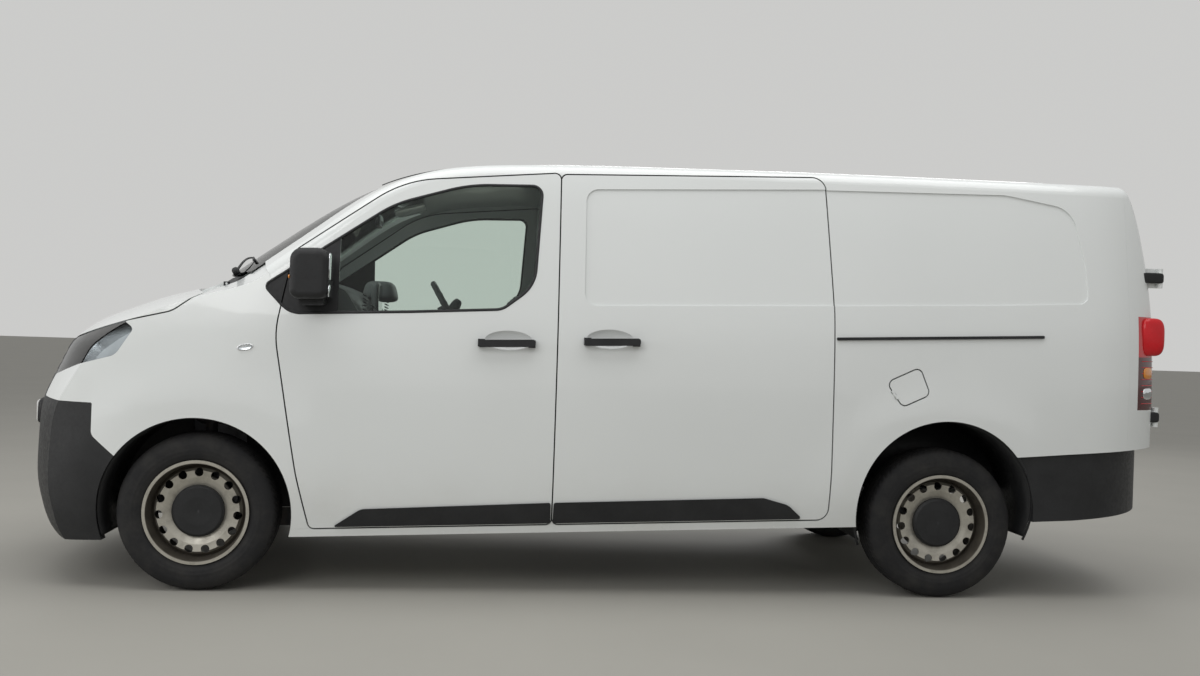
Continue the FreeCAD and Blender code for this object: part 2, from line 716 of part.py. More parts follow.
for level in (840, 886, 932, 978):
    grille = grille.cut(slab((NOSE - 100, -lamp_side + 40, level), (NOSE + 700, 10, level + 26)))
lower = deep_shell.common(slab((NOSE - 100, -430 + SEAT, 270 + SEAT), (FRONT, 10, 520 - SEAT)))
for level in (290, 345, 400, 455):
    lower = lower.cut(slab((NOSE - 100, -400, level), (NOSE + 700, 10, level + 38)))
add_shape("grilles", solids(whole(grille), whole(lower)))
cowl = cabin_half(0, 22, 0).cut(cabin_half(0, 44, 0)).common(arched(cowl_plan, 1000))
bonnet_lug = slab((bonnet_pin.x - 12, -692, 1270), (bonnet_pin.x + 12, -676 - SEAT, bonnet_pin.z + 9))
cowl = cowl.fuse(bonnet_lug).cut(crossways(bonnet_pin, bore, -700, -676 - SEAT + 1))
add_shape("scuttle", whole(cowl))

# Fixed trim on the body: sail tips, strips over the sills, slider handles and rails
trim = float(size.trim_wall)
trim_shell = side_half(-trim).cut(side_half(-SEAT))
sail = side_half(0).cut(side_half(trim)).common(prism(window_line)).cut(door_hole)
strip_line = relative(FRONT, [(1516, 266, 8), (1518, 357, 10), (2448, 364, 60), (2560, 330, 60),
                              (2630, 266, 8)])
rail_line = relative(REAR, [(-520, 1062, 4), (-520, 1075, 4), (440, 1081, 4), (440, 1068, 4)])
handle_line = relative(FRONT, [(1627, 1040, 12), (1627, 1072, 12), (1872, 1072, 12), (1872, 1040, 12)])
strip = trim_shell.common(prism(strip_line))
rail = trim_shell.common(prism(rail_line))
handle_shell = side_half(-38).cut(side_half(-22)).common(prism(handle_line))
handle_feet = side_half(-24).cut(side_half(-SEAT)).common(solids_of_ends(handle_line))
side_trim = solids(largest(sail), strip, rail, handle_shell.fuse(handle_feet))
add_shape("side_trim_left", side_trim)
add_shape("side_trim_right", mirrored(side_trim))

# Front door trim: surround and sail, strip, handle, mirror and hinge
surround = side_half(0).cut(side_half(trim)).common(door_block).common(prism(offset(window_line, -SEAT)))
surround = surround.cut(slab((FRONT + 568 - SEAT, -1300, 0), (FRONT + 1600, 0, 2200)))
door_strip_line = relative(FRONT, [(572, 266, 4), (690, 342, 60), (1504, 357, 8), (1506, 266, 8)])
door_handle_line = relative(FRONT, [(1168, 1036, 12), (1168, 1068, 12), (1416, 1068, 12), (1416, 1036, 12)])
door_strip = trim_shell.common(prism(door_strip_line))
grip = side_half(-38).cut(side_half(-22)).common(prism(door_handle_line))
grip = grip.fuse(side_half(-24).cut(side_half(-SEAT)).common(solids_of_ends(door_handle_line)))
mirror_line = [(FRONT + 384, 1240, 40), (FRONT + 384, 1452, 50), (FRONT + 545, 1452, 50),
               (FRONT + 545, 1240, 40)]
mirror_line = [(x, z + lift(x), radius) for x, z, radius in mirror_line]
reach = float(size.mirror_reach)
mirror = prism(mirror_line, -reach, -reach + 175)
mirror = mirror.makeFillet(28, [edge for edge in mirror.Edges if abs(edge.CenterOfMass.y + reach) < 1])
arm_line = relative(FRONT, [(420, 1215, 12), (420, 1262, 12), (520, 1262, 12), (520, 1215, 12)])
arm = prism(arm_line, -reach + 60, -870).cut(side_half(-SEAT))
mirror = mirror.fuse(arm)
door_trim = solids(largest(surround), door_strip, grip, largest(mirror))
add_shape("door_left_trim", door_trim)
add_shape("door_right_trim", mirrored(door_trim))

# Rear bumper: plan loop carried upwards, hollow from below
def rear_loop(inset, low):
    """Half a rounded loop in plan behind the rear wheels."""
    start = REAR + 540
    long = TAIL - start - inset
    wide = HALF - 22 - inset
    points = []
    for step in range(13):
        angle = math.pi / 2 * step / 12
        points.append(V(start + long * math.sin(angle) ** 0.75, -wide * math.cos(angle) ** 0.75, low))
    points += [V(point.x, -point.y, low) for point in reversed(points[:-1])]
    curve = Part.BSplineCurve()
    curve.interpolate(points)
    front_x = REAR + 250
    a, d = points[0], points[-1]
    b, c = V(front_x, -wide - 2, low), V(front_x, wide + 2, low)
    edges = [curve.toShape(), Part.LineSegment(d, c).toShape(), Part.LineSegment(c, b).toShape(),
             Part.LineSegment(b, a).toShape()]
    return Part.Face(Part.Wire(edges)).extrude(V(0, 0, 900))


bumper_wall = float(size.bumper_wall)
bumper_line = relative(REAR, [(240, 235, 0), (600, 240, 0), (1080, 262, 60), (1193, 330, 60), (1193, 500, 70),
                              (1080, 561 - SEAT, 20), (300, 531 - SEAT, 0), (240, 528.7 - SEAT, 0)])
rear_bumper = rear_loop(0, 100).cut(rear_loop(bumper_wall, 90)).common(prism(bumper_line))
bumper_ring = prism(offset(bumper_line, SEAT)).cut(rear_loop(bumper_wall + SEAT, 90))
rear_bumper = rear_bumper.cut([rear_cut, slab((REAR + 200, -HALF + 24 + bumper_wall, 0),
                                              (REAR + 500, HALF - 24 - bumper_wall, 900))])
add_shape("bumper_rear", largest(rear_bumper))

# Bulkhead and firewall fill the inner section of the body and stand clear of the doors
inner_seat = cabin_half(side_wall + SEAT, float(size.roof_wall) + SEAT, float(size.tail_wall) + SEAT)
door_room = side_half(0).cut(side_half(side_wall + GAP))
door_rooms = [door_room.common(door_hole), door_room.common(slider_hole)]
bulk_x = FRONT + float(size.bulkhead_x)
bulk_rear = bulk_x + float(size.bulkhead_wall)
wheel_room = disc(front_arch[0], front_arch[1], front_arch[2] + 18 + SEAT, -1300, -440 + SEAT)
bulkhead = inner_seat.common(slab((bulk_x, -1000, floor_top + lift(bulk_rear) + SEAT), (bulk_rear, 0, 2000)))
bulkhead = bulkhead.cut(door_rooms)
add_shape("bulkhead", whole(bulkhead))
wall_front = FRONT + 250
wall_rear = wall_front + 30
wall_top = 1240
firewall = inner_seat.common(slab((wall_front, -1000, cab_floor + lift(wall_rear) + SEAT),
                                  (wall_rear, 0, wall_top)))
notch = slab((wall_front + 12, -1000, plates[0][0] - 8),
             (wall_rear + 1, door_pin.y + reach_in + 7, plates[1][1] + 8))
firewall = largest(firewall.cut(door_rooms + [wheel_room, notch]))
lug = slab((wall_front, door_pin.y, lug_low), (door_pin.x - 6, door_pin.y + 40, lug_high))
lug = lug.fuse(upright(door_pin, 10, lug_low, lug_high))
firewall = firewall.fuse(lug).cut(upright(door_pin, bore, lug_low - 20, lug_high + 20))
add_shape("firewall", whole(firewall))

# Dashboard with the steering column, rounded off under the windscreen
wheel_centre = V(FRONT + 1010, 400, 1235)
column_axis = V(math.sin(math.radians(60)), 0, math.cos(math.radians(60)))
dash_view = [(wall_rear + SEAT, 930, 10), (FRONT + 520, 940, 30), (FRONT + 640, 990, 30),
             (FRONT + 645, 1210, 30),
             (FRONT + 590, 1300, 60), (FRONT + 450, 1360, 60), (FRONT + 180, 1390, 60),
             (FRONT - 20, 1350, 10),
             (FRONT - 20, wall_top + SEAT, 0), (wall_rear + SEAT, wall_top + SEAT, 0)]
dash_room = cabin_half(side_wall + 20, 44 + SEAT, float(size.tail_wall))
dash = dash_room.common(prism(dash_view, -1000, 0))
dash = dash.cut([slab((FRONT - 100, -1000, 0), (FRONT + 290, -600, 2000)),
                 slab((FRONT, -1000, 0), (FRONT + 700, -838, 2000))])
column = Part.makeCylinder(32, 400, wheel_centre - column_axis * (45 + SEAT + 400), column_axis)
add_shape("dashboard", whole(dash).fuse(column))

# Turned and padded pieces, each a body with sketches tied to the sheet
def new_body(label):
    piece = doc.addObject("PartDesign::Body", label)
    piece.Label = label
    return piece


def origin_part(piece, role):
    for feature in piece.Origin.OriginFeatures:
        if feature.Role == role:
            return feature


def draw(piece, role, corners, name):
    """Closed sketch of straight lines, its corners bound to the sheet."""
    sketch = piece.newObject("Sketcher::SketchObject", name)
    sketch.AttachmentSupport = [(origin_part(piece, role), "")]
    sketch.MapMode = "FlatFace"
    points = [(as_dim(a), as_dim(b)) for a, b in corners]
    count = len(points)
    for i in range(count):
        a, b = points[i]
        c, d = points[(i + 1) % count]
        sketch.addGeometry(Part.LineSegment(V(float(a), float(b), 0), V(float(c), float(d), 0)), False)
    for i in range(count):
        sketch.addConstraint(Sketcher.Constraint("Coincident", i, 2, (i + 1) % count, 1))
    for i, point in enumerate(points):
        for kind, number in zip(("DistanceX", "DistanceY"), point):
            index = sketch.addConstraint(Sketcher.Constraint(kind, i, 1, float(number)))
            sketch.setExpression(f"Constraints[{index}]", number.text)
    return sketch


def draw_circle(piece, role, centre, radius, name):
    sketch = piece.newObject("Sketcher::SketchObject", name)
    sketch.AttachmentSupport = [(origin_part(piece, role), "")]
    sketch.MapMode = "FlatFace"
    across, along = as_dim(centre[0]), as_dim(centre[1])
    sketch.addGeometry(Part.Circle(V(float(across), float(along), 0), V(0, 0, 1), float(radius)), False)
    for kind, number in (("DistanceX", across), ("DistanceY", along)):
        index = sketch.addConstraint(Sketcher.Constraint(kind, 0, 3, float(number)))
        sketch.setExpression(f"Constraints[{index}]", number.text)
    index = sketch.addConstraint(Sketcher.Constraint("Radius", 0, float(radius)))
    sketch.setExpression(f"Constraints[{index}]", as_dim(radius).text)
    return sketch


def pad(piece, sketch, length, symmetric=True):
    feature = piece.newObject("PartDesign::Pad", "Pad")
    feature.Profile = sketch
    feature.Length = float(length)
    feature.setExpression("Length", as_dim(length).text)
    feature.Midplane = symmetric
    return feature


def pocket(piece, sketch, length, symmetric=True):
    feature = piece.newObject("PartDesign::Pocket", "Pocket")
    feature.Profile = sketch
    feature.Length = float(length)
    feature.setExpression("Length", as_dim(length).text)
    feature.Midplane = symmetric
    return feature


def revolve(piece, sketch, axis="H_Axis"):
    feature = piece.newObject("PartDesign::Revolution", "Revolution")
    feature.Profile = sketch
    feature.ReferenceAxis = (sketch, [axis])
    feature.Angle = 360
    return feature


def place(piece, x=0, y=0, z=0, turn=None):
    """Placement bound to the sheet, with a turn (axis, degrees) if there is one."""
    if turn:
        piece.Placement = FreeCAD.Placement(V(0, 0, 0), FreeCAD.Rotation(turn[0], turn[1]))
    for letter, number in zip("xyz", (x, y, z)):
        number = as_dim(number)
        setattr(piece.Placement.Base, letter, float(number))
        piece.setExpression(f"Placement.Base.{letter}", number.text)
    return piece


# Wheels: the profile runs along the axle from the inner side (+) to the outer side (-)
radius = size.tyre_radius
half_tyre = size.tyre_width / 2
rim = size.rim_radius


def make_tyre(label):
    tyre = new_body(label)
    outer = [(12, rim + 1), (0, rim + 34), (2, rim + 76), (14, radius - 16), (32, radius - 3), (60, radius)]
    inner = [(24, rim + 1), (26, rim + 34), (34, radius - 22)]
    corners = [(-half_tyre + depth, height) for depth, height in outer]
    corners += [(half_tyre - depth, height) for depth, height in reversed(outer)]
    corners += [(half_tyre - depth, height) for depth, height in inner]
    corners += [(-half_tyre + depth, height) for depth, height in reversed(inner)]
    revolve(tyre, draw(tyre, "YZ_Plane", corners, "Profile"))
    return tyre


def make_rim(label):
    """Pressed steel wheel: barrel, dished disc and a ring of round holes."""
    wheel = new_body(label)
    wall = size.rim_wall
    face = -half_tyre + size.rim_recess
    hub = face - 14
    holes = size.rim_hole_circle
    corners = [(-half_tyre + 2, rim + 6), (-half_tyre + 2, rim - 8), (-half_tyre + 22, rim - 12),
               (face + 10, rim - 20), (face - 2, rim - 34), (face - 16, holes + 8), (face - 12, holes - 22),
               (hub + 12, size.cap_radius), (hub + 20, 70), (hub + 20, 0), (hub + 20 + wall, 0),
               (hub + 20 + wall, 74), (hub + 12 + wall, size.cap_radius + 8), (face - 12 + wall, holes - 16),
               (face - 16 + wall, holes + 4), (face - 2 + wall, rim - 30), (face + 24, rim - 20),
               (half_tyre - 22, rim - 12), (half_tyre - 2, rim - 8), (half_tyre - 2, rim + 6),
               (half_tyre - 8, rim + 6), (half_tyre - 11, rim), (-half_tyre + 11, rim),
               (-half_tyre + 8, rim + 6)]
    revolve(wheel, draw(wheel, "YZ_Plane", corners, "Profile"))
    doc.recompute()
    hole = pocket(wheel, draw_circle(wheel, "XZ_Plane", (0, size.rim_hole_circle), size.rim_hole_radius,
                                     "Hole"),
                  size.tyre_width, True)
    doc.recompute()
    ring = wheel.newObject("PartDesign::PolarPattern", "Ring")
    ring.Originals = [hole]
    ring.Axis = (origin_part(wheel, "Y_Axis"), [""])
    ring.Angle = 360
    ring.Occurrences = int(float(size.rim_hole_count))
    ring.setExpression("Occurrences", size.rim_hole_count.text)
    wheel.Tip = ring
    return wheel


def make_cap(label):
    """Black centre cap: shallow dished disc that sits on the wheel's face."""
    cap = new_body(label)
    base = -half_tyre + size.rim_recess - 2 - size.seat_gap
    lip = base - size.cap_depth
    corners = [(base + 8, 0), (base + 8, 66), (base, size.cap_radius - 6), (base - 2, size.cap_radius - 2),
               (lip + 8, size.cap_radius - 4), (lip + 1, size.cap_radius - 14), (lip, 60), (lip + 3, 0)]
    revolve(cap, draw(cap, "YZ_Plane", corners, "Profile"))
    return cap


for label, axle, track in (("front", front_axle, size.track_front), ("rear", rear_axle, size.track_rear)):
    for side, sign in (("left", -1), ("right", 1)):
        turn = None if sign < 0 else (V(0, 0, 1), 180)
        for make, name in ((make_tyre, "tyre"), (make_rim, "rim"), (make_cap, "cap")):
            place(make(f"{name}_{label}_{side}"), axle, track / 2 * sign, radius, turn)

# Engine: one plain block under the bonnet, on the subframe
engine = new_body("engine")
long = size.engine_length / 2
high = size.engine_height
block = [(-long, 0), (long, 0), (long, high - 60), (long - 90, high), (-long + 60, high), (-long, high - 120)]
pad(engine, draw(engine, "XZ_Plane", block, "Section"), size.engine_width)
place(engine, front_axle - 40, 0, 238 + size.seat_gap)

# Front subframe with its lower arms and the feet that carry it under the cab floor
subframe = new_body("subframe_front")
corners = [(-230, -330), (-230, 330), (-90, 360), (-30, 770), (30, 770), (90, 360), (230, 330), (330, 330),
           (330, -330), (230, -330), (90, -360), (30, -770), (-30, -770), (-90, -360)]
pad(subframe, draw(subframe, "XY_Plane", corners, "Plan"), 46)
doc.recompute()
window = [(-170, -270), (-170, 270), (170, 270), (170, -270)]
pocket(subframe, draw(subframe, "XY_Plane", window, "Opening"), 200)
doc.recompute()
for low, far in ((-330, -250), (250, 330)):
    foot = draw(subframe, "XY_Plane", [(262, low), (262, far), (330, far), (330, low)], "Foot")
    pad(subframe, foot, 78 - size.seat_gap, False)
place(subframe, front_axle, 0, 215)

# Raked pieces: their own level axes stand on the body's slope
slope = (V(0, 1, 0), -math.degrees(math.atan(RISE)))


def on_slope(distance, height):
    """Height of a raked level line at a distance behind the front axle, bound to the sheet."""
    return height + size.rake_rise / 1000 * distance


def primitive(kind, label, sizes, base, turn=None):
    """Cylinder or box with its sizes and place."""
    piece = doc.addObject(f"Part::{kind}", label)
    for name, number in sizes.items():
        setattr(piece, name, float(number))
        piece.setExpression(name, as_dim(number).text)
    rotation = FreeCAD.Rotation(*turn) if turn else FreeCAD.Rotation()
    piece.Placement = FreeCAD.Placement(V(*base), rotation)
    return piece


def joined(label, pieces):
    piece = doc.addObject("Part::MultiFuse", label)
    piece.Label = label
    piece.Shapes = pieces
    return piece


# Rear axle: beam, stubs, trailing arms with their brackets, and springs under the load floor
along_y = (V(1, 0, 0), -90)
stub_end = size.track_rear / 2 + size.tyre_width / 2 - size.rim_recess - 15 - size.seat_gap
axle_parts = [primitive("Cylinder", "AxleTube", {"Radius": 42, "Height": 1330}, (0, -665, 0), along_y)]
floor_under = floor_low - SEAT - float(radius)
for sign in (-1, 1):
    arm_base = (-540, sign * 560 - 35, 48)
    axle_parts.append(primitive("Box", "Arm", {"Length": 560, "Width": 70, "Height": 60}, arm_base,
                                (V(0, 1, 0), 8)))
    bracket = {"Length": 70, "Width": 70, "Height": floor_under + lift(REAR - 540) - 80}
    axle_parts.append(primitive("Box", "Bracket", bracket, (-540, sign * 560 - 35, 80)))
    spring = {"Radius": 50, "Height": floor_under + lift(REAR - 50)}
    axle_parts.append(primitive("Cylinder", "Spring", spring, (0, sign * 430, 0)))
    start = 0 if sign > 0 else -float(stub_end)
    axle_parts.append(primitive("Cylinder", "Stub", {"Radius": 30, "Height": stub_end}, (0, start, 0),
                                along_y))
place(joined("rear_axle", axle_parts), rear_axle, 0, radius)


# Knuckles: hub carrier and strut on the leaning kingpin
def along_kingpin(radius_here, low, high, sign):
    """Cylinder round the kingpin between two heights."""
    lean = math.tan(math.radians(float(size.kingpin_lean)))
    centre = float(size.track_front / 2 - size.kingpin_inset)
    hub = float(size.tyre_radius)
    a = V(FRONT, sign * (centre - (low - hub) * lean), low)
    b = V(FRONT, sign * (centre - (high - hub) * lean), high)
    return Part.makeCylinder(radius_here, (b - a).Length, a, b - a)


strut_top = 890
centre = float(size.track_front / 2 - size.kingpin_inset)
hub_face = float(size.track_front + size.tyre_width) / 2 - float(size.rim_recess) - 15
for side, sign in (("left", -1), ("right", 1)):
    carrier = slab((FRONT - 45, sign * centre - 28, 262), (FRONT + 45, sign * centre + 28, 420))
    spindle = Part.makeCylinder(float(size.hub_radius), hub_face - SEAT - centre,
                                V(FRONT, sign * centre, float(radius)), V(0, sign, 0))
    ball = along_kingpin(20, 244, 300, sign)
    strut = along_kingpin(26, 380, strut_top, sign)
    coil = along_kingpin(60, 700, 860, sign)
    steering_arm = slab((FRONT + 30, sign * centre - 12, 300), (FRONT + 150, sign * centre + 12, 324))
    add_shape(f"knuckle_{side}", carrier.fuse([spindle, ball, strut, coil, steering_arm]))


# Wheelhouses: liners over the front wheels with their strut towers, and steel ones at the rear
def wheelhouse(arch, wall, inner_y, outer_y, low):
    """Drum over a wheel, closed on its inner side."""
    x, z, arch_size = arch
    ring = disc(x, z, arch_size + 12 + wall, -outer_y, -inner_y)
    ring = ring.cut(disc(x, z, arch_size + 12, -outer_y - 1, -inner_y - 14))
    return ring.common(slab((x - 600, -1300, low), (x + 600, 0, 1300)))


liner = wheelhouse(front_arch, float(size.liner_wall), 440, 1000, 300)
liner = liner.common(side_half(float(size.wing_wall) + SEAT))
cab_side = slab((FRONT + 240, -1300, 0), (FRONT + 700, 0, 1300)).cut(side_half(side_wall + GAP))
bumper_room = outer_front.cut(front_half(float(size.bumper_wall) + SEAT, float(size.bumper_wall) + SEAT))
liner = liner.cut([cab_side, bumper_room.common(bumper_hole)])
tower = along_kingpin(84, 740, strut_top + 12, -1).cut(along_kingpin(74, 600, strut_top + SEAT, -1))
tower = tower.cut(disc(front_arch[0], front_arch[1], front_arch[2] + 12))
liner = liner.cut(along_kingpin(74, 500, strut_top, -1)).fuse(tower)
liner = largest(liner.cut(slab((FRONT - 120, -470, 0), (FRONT + 120, 0, 700))))
add_shape("inner_arches", solids(liner, mirrored(liner)))

# Floor: cab floor, step and load floor, with the rear wheelhouses
floor_view = [(*up(wall_front, cab_floor - 45), 0), (*up(bulk_x - 90, cab_floor - 45), 0),
              (*up(bulk_x - 90, floor_low), 0), (*up(TAIL - 110, floor_low), 0),
              (*up(TAIL - 110, floor_top), 0),
              (*up(bulk_x - 118, floor_top), 0), (*up(bulk_x - 118, cab_floor), 0),
              (*up(wall_front, cab_floor), 0)]
floor = inner_seat.common(prism(floor_view, -1000, 0)).cut(door_rooms + [wheel_room])
floor = floor.cut(disc(*rear_arch[:2], rear_arch[2] + 20, -1300, -562))
house = wheelhouse(rear_arch, 8, 548, 1000, float(size.tyre_radius) + 100).common(inner_seat)
floor = floor.fuse(house).cut(bumper_ring)
add_shape("floor_pan", whole(largest(floor)))

# Seats on the cab floor
for label, width, y in (("seat_driver", 490, 430), ("seat_passenger", 900, -320)):
    seat = new_body(label)
    profile = [(0, 0), (420, 0), (440, 230), (510, 740), (500, 990), (420, 990), (415, 760), (340, 340),
               (280, 330), (-60, 360), (-80, 250), (-40, 220), (0, 210)]
    pad(seat, draw(seat, "XZ_Plane", profile, "Section"), width)
    place(seat, front_axle + 930, y, on_slope(930, size.cab_floor_height) + size.seat_gap, slope)

# Steering wheel: rim, hub and three spokes
grip_radius = size.steering_wheel_radius - 14
wheel_parts = [primitive("Torus", "WheelRim", {"Radius1": grip_radius, "Radius2": 14}, (0, 0, 0)),
               primitive("Cylinder", "WheelHub", {"Radius": 52, "Height": 60}, (0, 0, -45))]
for angle in (0, 180, 270):
    turn = FreeCAD.Rotation(V(0, 0, 1), angle)
    spoke = {"Length": grip_radius, "Width": 38, "Height": 14}
    wheel_parts.append(primitive("Box", "Spoke", spoke, turn.multVec(V(0, -19, -8)), (V(0, 0, 1), angle)))
steering_wheel = joined("steering_wheel", wheel_parts)
place(steering_wheel, front_axle + 1010, wheel_centre.y, wheel_centre.z, (V(0, 1, 0), 60))

# Fuel tank under the load floor
tank = new_body("fuel_tank")
profile = [(0, 0), (680, 0), (720, -60), (720, -150), (640, -190), (0, -190), (-40, -150), (-40, -40)]
pad(tank, draw(tank, "XZ_Plane", profile, "Section"), 520)
under_floor = size.floor_height - size.floor_wall - size.seat_gap
place(tank, front_axle + 1480, -400, on_slope(1480, under_floor), slope)

# Exhaust: pipe and silencer on two hangers from the load floor
along_x = (V(0, 1, 0), 90)
drop = -216
exhaust_parts = [primitive("Cylinder", "Pipe", {"Radius": 24, "Height": 2600}, (-1420, 0, drop), along_x),
                 primitive("Cylinder", "Silencer", {"Radius": 60, "Height": 520}, (0, 0, drop), along_x)]
for x in (60, 440, 1080):
    exhaust_parts.append(primitive("Box", "Hanger", {"Length": 24, "Width": 24, "Height": -drop},
                                   (x, -12, drop)))
place(joined("exhaust", exhaust_parts), front_axle + 1743.5, 330, on_slope(1743.5, under_floor), slope)

# Check the document, then write one file for each piece
doc.recompute()
for item in doc.Objects:
    if "Invalid" in item.State or "Error" in item.State:
        raise RuntimeError(f"{item.Label} did not build: {item.State}")
nodes = []
for item in doc.Objects:
    if item.TypeId in ("Part::Feature", "PartDesign::Body", "Part::MultiFuse"):
        nodes.append(item)
for item in nodes:
    if item.Shape.isNull() or not item.Shape.isValid():
        raise RuntimeError(f"{item.Label} has no valid shape")
for item in nodes:
    item.Shape.exportStep(f"parts/{item.Label}.step")
print(len(nodes), "pieces written")
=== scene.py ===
import json
import math
import bpy
import numpy as np
from mathutils import Matrix, Vector


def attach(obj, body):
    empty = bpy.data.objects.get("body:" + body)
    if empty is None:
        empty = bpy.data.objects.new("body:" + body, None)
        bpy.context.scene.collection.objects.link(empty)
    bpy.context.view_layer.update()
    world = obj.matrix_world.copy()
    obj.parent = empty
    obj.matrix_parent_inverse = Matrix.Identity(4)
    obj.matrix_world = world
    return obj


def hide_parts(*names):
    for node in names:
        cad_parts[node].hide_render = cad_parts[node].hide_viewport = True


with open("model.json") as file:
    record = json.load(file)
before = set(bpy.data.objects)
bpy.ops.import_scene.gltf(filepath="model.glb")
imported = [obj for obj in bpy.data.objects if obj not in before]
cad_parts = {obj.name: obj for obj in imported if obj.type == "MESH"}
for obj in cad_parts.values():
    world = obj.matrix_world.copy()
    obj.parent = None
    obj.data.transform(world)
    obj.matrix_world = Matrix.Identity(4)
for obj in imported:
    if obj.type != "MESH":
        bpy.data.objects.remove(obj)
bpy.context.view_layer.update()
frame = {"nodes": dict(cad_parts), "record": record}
nodes = frame["nodes"]

# Metres, nose to -X, up +Z, the van's left side is -Y.
body = {"frontAxle": -1.7735, "rearAxle": 1.5015, "nose": -2.6545, "tail": 2.6545, "halfWidth": 0.960,
        "rake": 0.0328, "tyreRadius": 0.336, "trackFront": 1.627, "trackRear": 1.600, "flare": 0.010}
front, rear = body["frontAxle"], body["rearAxle"]
sides = (("left", -1), ("right", 1))
print("frame loaded:", len(nodes), "CAD nodes")


def fullTurn(count):
    return np.linspace(0, 2 * np.pi, count, endpoint=False)


def squared(wave, power):
    # Cosine or sine raised to a power with its sign kept, which squares up a circle.
    return np.sign(wave) * np.abs(wave) ** power


def pitched(degrees):
    # Turn about Y that tips the top towards +X.
    angle = math.radians(degrees)
    return np.array([[math.cos(angle), 0, math.sin(angle)], [0, 1, 0], [-math.sin(angle), 0, math.cos(angle)]])


def gridFaces(rows, columns, wrapRows=False, wrapColumns=False, offset=0):
    # Quads of a grid of rows x columns points, each as the four corners round one cell.
    r = np.arange(rows if wrapRows else rows - 1)
    c = np.arange(columns if wrapColumns else columns - 1)
    r, c = np.meshgrid(r, c, indexing="ij")
    r1, c1 = (r + 1) % rows, (c + 1) % columns
    quads = np.stack([r * columns + c, r * columns + c1, r1 * columns + c1, r1 * columns + c], -1)
    return quads.reshape(-1, 4) + offset


def smoothCurve(stations, count):
    # Catmull-Rom spline through the stations: each span blends the two points and the slopes from their neighbours.
    p = np.asarray(stations, float)
    p = np.vstack([2 * p[0] - p[1], p, 2 * p[-1] - p[-2]])
    t = np.linspace(0, len(p) - 3 - 1e-9, count)
    i = t.astype(int)
    u = (t - i)[:, None]
    a, b, c, d = p[i], p[i + 1], p[i + 2], p[i + 3]
    return 0.5 * (2 * b + (c - a) * u + (2 * a - 5 * b + 4 * c - d) * u ** 2 + (3 * b - a - 3 * c + d) * u ** 3)


def smoothStep(low, high, t):
    # Cubic ease from 0 at low to 1 at high: u squared times (3 - 2 u).
    u = np.clip((t - low) / (high - low), 0, 1)
    return u * u * (3 - 2 * u)


# Finishes
class Finish:
    # A node material: the Principled shader's sockets are set by name, patterns read Object coordinates.
    def __init__(self, name, color, roughness, **sockets):
        self.material = bpy.data.materials.new(name)
        self.material.use_nodes = True
        self.tree = self.material.node_tree
        self.shader = self.tree.nodes["Principled BSDF"]
        self.place = self.add("ShaderNodeTexCoord").outputs["Object"]
        self.shader.inputs["Base Color"].default_value = (*color, 1)
        self.shader.inputs["Roughness"].default_value = roughness
        for socket, value in sockets.items():
            self.shader.inputs[socket.replace("_", " ")].default_value = value

    def add(self, kind, **settings):
        node = self.tree.nodes.new(kind)
        for key, value in settings.items():
            setattr(node, key, value)
        return node

    def link(self, source, target):
        self.tree.links.new(source, target)

    def pattern(self, kind, output, sockets, vector=None, **settings):
        node = self.add(kind, **settings)
        for socket, value in sockets.items():
            node.inputs[socket].default_value = value
        self.link(vector or self.place, node.inputs["Vector"])
        return node.outputs[output]

    def stretched(self, scale):
        return self.pattern("ShaderNodeMapping", "Vector", {"Scale": scale})

    def noise(self, scale, detail=3, rough=0.5, vector=None):
        sockets = {"Scale": scale, "Detail": detail, "Roughness": rough}
        return self.pattern("ShaderNodeTexNoise", "Fac", sockets, vector)

    def cells(self, scale):
        return self.pattern("ShaderNodeTexVoronoi", "Distance", {"Scale": scale})

    def waves(self, scale, direction):
        return self.pattern("ShaderNodeTexWave", "Fac", {"Scale": scale}, bands_direction=direction)

    def axis(self, letter):
        node = self.add("ShaderNodeSeparateXYZ")
        self.link(self.place, node.inputs[0])
        return node.outputs[letter]

    def span(self, value, low, high, toLow=0.0, toHigh=1.0):
        node = self.add("ShaderNodeMapRange")
        self.link(value, node.inputs["Value"])
        for socket, number in zip(("From Min", "From Max", "To Min", "To Max"), (low, high, toLow, toHigh)):
            node.inputs[socket].default_value = number
        return node.outputs["Result"]

    def math(self, operation, a, b):
        node = self.add("ShaderNodeMath", operation=operation)
        for socket, value in zip(node.inputs, (a, b)):
            if isinstance(value, (int, float)):
                socket.default_value = value
            else:
                self.link(value, socket)
        return node.outputs[0]

    def blend(self, factor, a, b):
        node = self.add("ShaderNodeMix", data_type="RGBA")
        self.link(factor, node.inputs["Factor"])
        for socket, value in zip((node.inputs[6], node.inputs[7]), (a, b)):
            if isinstance(value, tuple):
                socket.default_value = (*value, 1)
            else:
                self.link(value, socket)
        return node.outputs[2]

    def color(self, output):
        self.link(output, self.shader.inputs["Base Color"])

    def rough(self, output):
        self.link(output, self.shader.inputs["Roughness"])

    def bump(self, height, strength, distance=0.001):
        node = self.add("ShaderNodeBump")
        node.inputs["Strength"].default_value = strength
        node.inputs["Distance"].default_value = distance
        self.link(height, node.inputs["Height"])
        self.link(node.outputs["Normal"], self.shader.inputs["Normal"])


# The dust colour also stands for painted shade and floor reflection low on the body.
paintLook = {"white": (0.80, 0.825, 0.815), "dust": (0.62, 0.60, 0.55), "dustAndShadeTop": 0.62, "gloss": 0.22,
             "orangePeel": 0.05}


